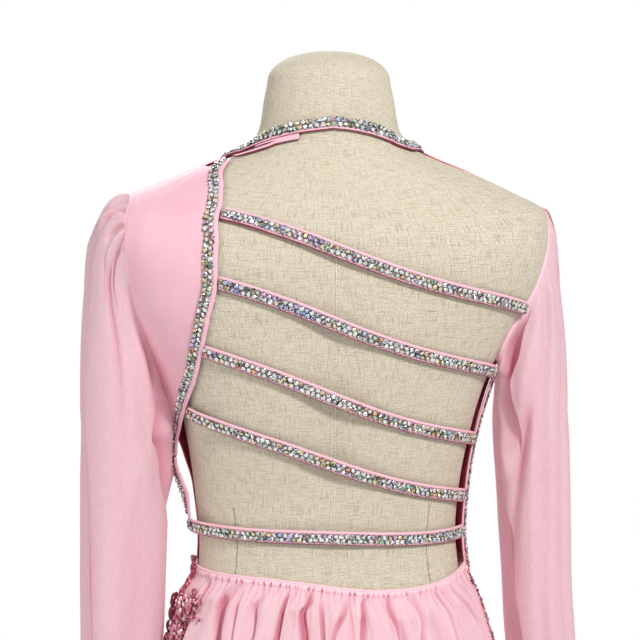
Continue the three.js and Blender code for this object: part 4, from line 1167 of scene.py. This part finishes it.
# Folds down the back: the side their pocket opens to, how soft, then a path of height, angle and depth
skirt_folds = (
    (1, 10, "1015 68 1, 1003 67.6 6, 988 67.2 7, 966 68.4 7, 900 70 6, 800 72 0"),
    (-1, 12, "1016 55.2 1, 1003 59 4, 994 59.6 8, 981 58.9 9, 963 57.2 9, 900 55 7, 800 53 0"),
    (1, 7, "1012 49 0, 1002 48.5 2.5, 980 48 3, 940 47 2, 880 46 0"),
    (-1, 6, "1014 38.2 0, 1005 40.6 2, 997 42.9 3, 982 41.2 3, 970 40 3, 920 39 2, 850 38 0"),
    (-1, 5, "1013 27.1 2, 1002 28.8 6, 990 29.5 7, 971 29.8 7, 900 30.5 5, 800 31 0"),
    (1, 4, "1011 21.9 0, 1003.5 24.2 2, 996 25 0"),
    (-1, 7, "1013 15 2, 1002 16.2 7, 994.5 19.2 8, 982 18 8, 972 17 8, 900 14 6, 800 12 0"),
    (-1, 7, "1006 9 0, 996 8.8 4, 972 8.4 5, 900 8 4, 800 8 0"),
    (1, 8, "1006 -9.1 1, 994 -6.9 4, 981 -3 4, 972 -1.1 4, 900 1 3, 800 1 0"),
    (-1, 8, "1012 -19.6 1, 998 -14.9 5, 984 -14 5, 971 -13.4 5, 900 -12 4, 800 -11 0"),
    (-1, 10, "1009 -29.6 0, 1003 -29.5 3, 990 -28.8 5, 978 -30 5, 900 -29 4, 800 -28 0"),
    (-1, 10, "1008 -43.2 0, 1000 -43.1 3, 982 -42.5 4, 966 -41 4, 900 -39 4, 800 -37 0"),
    (-1, 8, "1010 -55.2 0, 1006 -55.4 2, 991 -56 4, 960 -57 4, 900 -58 3, 800 -60 0"),
    (-1, 8, "1008 -59.8 0, 999.5 -59.9 3, 980 -60.1 4, 900 -60.5 3, 800 -62 0"),
    (-1, 8, "1006 -67 0, 996 -67.6 3, 980 -68.8 4, 950 -71.5 4, 900 -73 3, 800 -76 0"),
    (-1, 5, "1014 -84 1, 1000 -84.5 4, 980 -85 5, 940 -85.5 4, 860 -86 0"),
)



def right_side(angle, spread):
    """1 at the right side seam, and less away from it."""
    return bump(np.mod(angle, 360) - 270, spread)


def waist_slack(angle):
    """The elastic stands off the form where the right side band meets it."""
    return 6.2 * right_side(angle, 9)


def fold_at(angle):
    """How far the big folds rise, round on top with sharp bottoms, and lean over in degrees."""
    bottoms = fold_bottoms["angle"]
    i = np.clip(np.searchsorted(bottoms, angle, side="right") - 1, 0, len(bottoms) - 2)
    width = bottoms[i + 1] - bottoms[i]
    arch = np.sin(math.pi * np.clip((angle - bottoms[i]) / width, 0, 1))
    return fold_bottoms["height"][i] * arch ** 0.8, np.where(i % 3 == 1, -0.16, 0.18) * width * arch ** 2


def skirt_reach(angle, z):
    return outline(angle, skirt_half(z), skirt_back(z), skirt_front(z), SKIRT_SQUARE)


def skirt_point(angle, z, lift):
    """A point on the skirt: held against the form at its top, then hanging free."""
    angle, z, lift = np.broadcast_arrays(*(np.asarray(part, float) for part in (angle, z, lift)))
    rise, lean_over = fold_at(angle)
    drop = waist_top(angle) - ELASTIC_HEIGHT - z
    fold = skirt_fold(z) + FOLD_EXTRA["size"] * bump(z - FOLD_EXTRA["middle"], FOLD_EXTRA["reach"])
    reach = skirt_reach(angle, z) + fold * rise + lift
    reach = reach - ramp(z, 990, 950) * (4 * bump(angle - SIDE, 16) + 2.5 * right_side(angle, 16))
    a = np.radians(angle) + np.radians(lean_over) * ramp(z, 1005, 950)
    form = body_point(angle, z)
    reach = np.maximum(reach, np.hypot(form[..., 0], form[..., 1]) + SKIRT_CLEAR)
    hanging = np.stack([reach * np.sin(a), reach * np.cos(a), z], -1)
    free = ramp(drop, -4, 20)[..., None]
    held = SKIRT_TUCK + waist_slack(angle) + np.maximum(lift, -1.0)
    return worn(angle, z, held) * (1 - free) + hanging * free


def tucks(angle, drop):
    """Fine creases squeezed into the casing, a little slanted and none quite alike."""
    draw = np.random.default_rng(3)
    shift, slant = draw.uniform(-0.3, 0.3, TUCKS), draw.uniform(-0.15, 0.4, TUCKS)
    size = draw.uniform(0.3, 1.4, TUCKS)
    place = angle * TUCKS / 360
    total = 0
    for near in (-1, 0, 1):
        k = np.round(place).astype(int) + near
        away = (place - k - shift[k % TUCKS]) * TUCK_PITCH - slant[k % TUCKS] * drop
        total = total + size[k % TUCKS] * bump(away, 0.6 + 0.07 * np.clip(drop, 0, 8))
    return total


def small_folds(angle, drop, seed):
    """Gathers that fan out of the elastic and join into fewer, broader ones below."""
    draw = np.random.default_rng(seed)
    half_turn = 180
    total = -1.6 * tucks(angle, drop + ELASTIC_HEIGHT) * bump(drop, 7)
    # how many, how deep, and how far below the elastic they are born and gone
    for count, size, born, gone in ((47, 1.3, 0, 18), (25, 1.5, 4, 60), (15, 2.4, 14, 420)):
        places = np.linspace(angle.min(), angle.max(), count)
        for place in places + draw.uniform(-0.3, 0.3, count) * half_turn / count:
            width = half_turn / count * draw.uniform(0.14, 0.3)
            slant = draw.uniform(-0.035, 0.035)
            depth = size * draw.uniform(0.25, 1.3)
            life = ramp(drop, born - 2, born + 8) * bump(drop, gone * draw.uniform(0.6, 1.5))
            opened = width * (0.45 + 0.55 * ramp(drop, 0, 35))
            total -= depth * life * bump(angle - place - slant * np.minimum(drop, 70), opened)
    return total


def drawn_pleats(seed):
    """Pleats for the hidden front, like the ones that the photo shows at the back."""
    draw = np.random.default_rng(seed)
    rows = []
    for place in np.arange(97, 264, 11.5):
        at, slip, depth = place + draw.uniform(-3, 3), draw.uniform(-3, 3), draw.uniform(3, 7)
        path = [(1014, at, 0), (998, at + slip / 2, depth), (960, at + slip, depth),
                (900, at + slip, depth * 0.8), (800, at + slip, 0)]
        rows.append((draw.choice((-1, 1)), draw.uniform(5, 11), path))
    return rows


def pleat_depth(rows, angle, z):
    total = 0
    for side, soft, path in rows:
        place, depth = read(table("z angle depth", path), "z", "angle depth", z)
        away = np.radians(angle - place) * skirt_reach(angle, z)
        total = total + depth * pleat(away * side, soft)
    return total


def skirt_panel(name, node, from_angle, to_angle, pleats, seed, columns):
    angle = np.linspace(from_angle, to_angle, columns)[None]
    # rows are closest just under the elastic, where the gathers are finest
    share = spaced((0, 0), (0.0125, 14), (0.11, 34), (1, 34))
    top = waist_top(angle) - ELASTIC_HEIGHT + 0.6
    z = top + (HEM - top) * share[:, None]
    drop = top - z
    depth = pleat_depth(pleats, angle, z)
    gathered = small_folds(angle, drop, seed)
    grid = skirt_point(angle, z, gathered + 1.4 * ramp(drop, 0, 12) - 1.2 * depth * ramp(drop, 0, 9))
    waves = soft_waves(z.shape, 1.6, 10)[..., None]
    grid += grid_normals(grid, False) * waves * ramp(drop, 10, 200)[..., None]
    # painted shade: deep rose in the pleats' pockets and between the gathers under the elastic
    pocket = 0.7 * ramp(depth, 0.5, 6.5) + 0.35 * ramp(-gathered, 0.4, 2.2) * bump(drop, 22)
    piece = link(walled(name, grid, pocket=np.clip(pocket, 0, 0.75)), skirt_chiffon, "chiffon", node)


# The casing's section, from inside its top edge, over the roll and down to its stitch line
casing = table("drop off", """
    3 0.5, 1.2 0.5, 0.3 0.9, 0 1.6, 0.3 2.3, 0.9 2.6, 1.6 2.5, 2.2 2.0, 2.8 2.1, 4 2.9, 5.2 3,
    6.4 2.6, 8 1.6""")


def waist_elastic():
    """The casing: a smooth rolled top edge, and tucks down to its stitch line."""
    angle = spaced((-90, 0), (90, 900), (270, 450))[None, :-1]
    at = np.linspace(0, len(casing["drop"]) - 1, 27)
    drop, off = (np.interp(at, np.arange(len(column)), column)[:, None] for column in casing.values())
    outside = (at > 4)[:, None] * ramp(drop, 2.4, 5)
    creased = tucks(angle, drop)
    off = off + waist_slack(angle) - 2.4 * creased * outside
    grid = worn(np.repeat(angle, len(drop), 0), waist_top(angle) + 0.4 - drop, off)
    # painted shade in the creases of the deeper tucks below the roll
    mesh = walled("waist_elastic", grid, loop=True, under=0.6 * outside * ramp(creased, 0.2, 1.2))
    piece = link(mesh, elastic_pink, "chiffon", "skirt_waistband")


# ---- Hip trims

def ball_template(rings=6, sides=10, pear=0.0):
    """A ball, or with pear above 0 a drop whose +x end is narrow."""
    points, faces = [], []
    for a in (math.pi * i / rings for i in range(1, rings)):
        r = math.sin(a) * (1 - pear * (1 + math.cos(a)) / 2)
        turns = [CIRCLE * k / sides for k in range(sides)]
        points += [(math.cos(a), r * math.cos(b), r * math.sin(b)) for b in turns]
    last = len(points) - sides
    top, bottom = len(points), len(points) + 1
    points += [(1, 0, 0), (-1, 0, 0)]
    for i in range(0, last, sides):
        faces += [(i + k, i + sides + k, i + sides + n, i + n) for k, n in neighbours(sides)]
    for k, n in neighbours(sides):
        faces += [(top, k, n), (bottom, last + n, last + k)]
    return points, faces


BALL = ball_template()


def on_skirt(angle, z, lift):
    """Places and axes on the skirt: x down, y round, z out."""
    here = skirt_point(angle, z, lift)
    below = skirt_point(angle, z - 1, lift) - here
    out = unit(np.cross(skirt_point(angle + 0.3, z, lift) - here, below))
    out = np.where((out * here * [1, 1, 0]).sum(-1, keepdims=True) < 0, -out, out)
    down = unit(below)
    return here, np.stack([down, np.cross(out, down), out], 1)


def turned_in(frames, degrees, tip=0.0):
    """The same axes spun about their out direction and tipped a little."""
    x, y = spin(frames[:, 0], frames[:, 1], np.radians(degrees)[:, None])
    x, out = spin(x, frames[:, 2], np.radians(tip)[..., None])
    return np.stack([x, y, out], 1)


def tones(count, faces, codes, spread=0.2):
    """One of these colours for each solid, lighter or darker by up to the spread."""
    choices = palette(codes)
    picks = choices[rng.integers(0, len(choices), count)]
    picks = np.clip(picks * rng.uniform(1 - spread, 1 + spread, (count, 1)), 0, 1)
    return np.repeat(opaque(picks), len(faces), axis=0)


HIP_TOP = waist_top(85.0)


def sprayed(upper, lower, lifts):
    """Places and axes of beads at the left hip: a cluster, and a lower one that hangs from it.

    upper is how many there are and their spread round and down; lower how many, their middle angle and
    spread, and how far down they start and end. lifts are the least and the most that they stand off.
    """
    count, spread, spread_down = upper
    low_count, low_angle, low_spread, start, end = lower
    angle = np.concatenate([rng.normal(72, spread, count), rng.normal(low_angle, low_spread, low_count)])
    down = np.concatenate([rng.normal(31, spread_down, count), rng.uniform(start, end, low_count)])
    return on_skirt(np.minimum(angle, 79), HIP_TOP - down, rng.uniform(*lifts, len(angle)))


def hip_applique():
    """A plain generic spray of beads: a braided chain, a cluster of stones and hanging drops."""
    beads = []
    run = np.linspace(0, 1, 34)
    for strand in (0, 1):
        twist = run * 12 + strand * math.pi
        angle = 88 - 6 * run + 0.9 * np.sin(twist)
        here, axes = on_skirt(angle, HIP_TOP + 5 - 35 * run, 3.6 - 0.5 * run + 1.3 * np.cos(twist))
        beads.append((here, turned_in(axes, 35 * np.cos(twist)), np.tile([2.6, 1.7, 1.7], (len(run), 1))))
    here, axes = sprayed((130, 3.4, 5.2), (150, 74.5, 3, 46, 88), (1.5, 6))
    axes = turned_in(axes, rng.uniform(0, 360, len(here)))
    beads.append((here, axes, rng.uniform(0.8, 1.3, len(here))[:, None] * np.array([2.1, 1.4, 1.4])))
    centres, frames, sizes = map(np.concatenate, zip(*beads))
    scattered("hip_beads", BALL, frames, centres, sizes, rose_bead, "beads", "hip_applique_left",
              tones=tones(len(centres), BALL[1], "cc6279 b94a64 e8a3b1 a03652"))

    drops = table("angle down size turn lift", """
        88 34 6.4 60 8.5, 88 40 5.4 -20 8.5, 88 50 7.4 4 7.5, 88 63 6.8 -12 7.5, 87 73 5.6 25 6,
        85 83 5 40 4""")
    pear = ball_template(10, 16, 0.4)
    here, axes = on_skirt(drops["angle"], HIP_TOP - drops["down"], drops["lift"])
    sizes = drops["size"][:, None] * np.array([1.0, 0.7, 0.6])
    scattered("hip_drops", pear, turned_in(axes, drops["turn"]), here, sizes, rose_bead, "beads",
              tones=tones(len(sizes), pear[1], "7c1a30 8a2238"))

    here, axes = sprayed((50, 3, 4.8), (52, 74, 2.6, 48, 86), (4, 7))
    sizes = rng.uniform(0.75, 1.2, len(here))[:, None] * np.array([2.0, 2.0, 1.6])
    frames = turned_in(axes, rng.uniform(0, 360, len(here)), rng.uniform(-30, 30, len(here)))
    scattered("hip_stones", STONE, frames, here, sizes, stone_glass, "rhinestone", smooth=False,
              tones=tones(len(here), STONE[1], "fbd5dc e892a5 ffffff c45a74", 0.3))


def hip_trim_right():
    """Stones and beads down the right side of the skirt, from the end of the side edge band."""
    line = table("z angle lift", """
        1029 -89 1, 1015 -89 2.2, 1004 -89 2, 993 -87.5 1.5, 978 -86.5 1.2, 962 -85.5 1, 941 -85 1,
        925 -84.5 1""")

    def placed(count, aside, size):
        z = np.linspace(line["z"][0], line["z"][-1], count)
        angle, lift = read(line, "z", "angle lift", z)
        angle = angle + aside + 0.5 * np.sin(np.arange(count) * 2.1)
        here, axes = on_skirt(angle, z, lift + 0.5 * np.sin(np.arange(count) * 1.7))
        return axes, here, rng.uniform(0.85, 1.1, count)[:, None] * np.array(size)

    axes, here, sizes = placed(25, 0.0, (2.2, 2.2, 1.9))
    # painted reflections on the facets of these stones
    colour = stone_reflections(np.zeros(len(here)))
    scattered("hip_trim_stones", STONE, turned_in(axes, rng.uniform(0, 360, len(here))), here, sizes,
              stone_glass, "rhinestone", "hip_trim_right", smooth=False, tones=colour)
    axes, here, sizes = placed(42, 1.9, (1.9, 1.3, 1.3))
    colour = tones(len(here), BALL[1], "c0566e a83c58 d98c9c")
    scattered("hip_trim_beads", BALL, turned_in(axes, rng.uniform(0, 360, len(here))), here, sizes,
              rose_bead, "beads", tones=colour)


# ---- Studio

# Places here are in metres
TARGET = Vector((0.0085, 0, 1.25))      # what the camera is aimed at
VIEW = {"distance": 1.7, "round": 3, "up": 9.5}
SENSOR, LENS = 36, 101.7
LAMP_TARGET = Vector((0, 0, 1.2))
FLOOR = 2.4          # half the floor's side
SKY_LIT, SKY_SEEN = 0.33, 1.0           # the white surroundings' light, and their look to the camera
lamps = (
    # name, place, size, power
    ("key", (-1.1, 2.25, 3.1), 0.5, 73),
    ("fill", (2.5, 1.1, 2.2), 1.6, 24),
    ("front", (0.6, -2.6, 2.4), 1.2, 40),
    ("side", (-2.4, -0.4, 1.8), 1.2, 6),
)


def aimed(name, data, place, ahead):
    """An object that looks ahead, upright."""
    thing = bpy.data.objects.new(name, data)
    bpy.context.scene.collection.objects.link(thing)
    thing.location = place
    thing.rotation_mode = "QUATERNION"
    thing.rotation_quaternion = ahead.to_track_quat("-Z", "Y")
    return thing


def studio():
    scene = bpy.context.scene
    scene.view_settings.view_transform = "Standard"
    round_by, up = math.radians(VIEW["round"]), math.radians(VIEW["up"])
    away = Vector((math.sin(round_by) * math.cos(up), math.cos(round_by) * math.cos(up), math.sin(up)))
    scene.camera = aimed("camera", bpy.data.cameras.new("camera"), TARGET + away * VIEW["distance"], -away)
    scene.camera.data.sensor_width = SENSOR
    scene.camera.data.lens = LENS

    sky = Shader("studio", "worlds", "OutputWorld")
    seen = sky.add("LightPath").outputs["Is Camera Ray"]
    strength = sky.add("MapRange", {"Value": seen, "To Min": SKY_LIT, "To Max": SKY_SEEN}).outputs[0]
    scene.world = sky.done(sky.add("Background", {"Color": "ffffff", "Strength": strength}).outputs[0])

    for name, place, size, power in lamps:
        data = bpy.data.lights.new(name, "AREA")
        data.size = size
        data.energy = power
        aimed(name, data, place, LAMP_TARGET - Vector(place))

    s = Shader("pale_floor")
    paint = s.done(base_color=s.mix(s.noise(s.place(), 3, 3), "f7f7f7", "fcfcfc"), roughness=0.85)
    mesh = bpy.data.meshes.new("floor")
    corners = [(x * FLOOR, y * FLOOR, 0) for x, y in ((-1, -1), (1, -1), (1, 1), (-1, 1))]
    mesh.from_pydata(corners, [], [(0, 1, 2, 3)])
    mesh.materials.append(paint)
    floor = bpy.data.objects.new("floor", mesh)
    scene.collection.objects.link(floor)


studio()
dress_form()
form_stitches()
stand()
bands()
neck_tab()
back_panel()
front_bodice()
left_grid = sleeve("left")
right_grid = sleeve("right")
armhole_welt("left", left_grid)
armhole_welt("right", right_grid)
cuff("left")
cuff("right")
waist_elastic()
skirt_panel("skirt_back_chiffon", "skirt_back", -90, 90, skirt_folds, 11, 860)
skirt_panel("skirt_front_chiffon", "skirt_front", 90, 270, drawn_pleats(12), 12, 430)
hip_applique()
hip_trim_right()
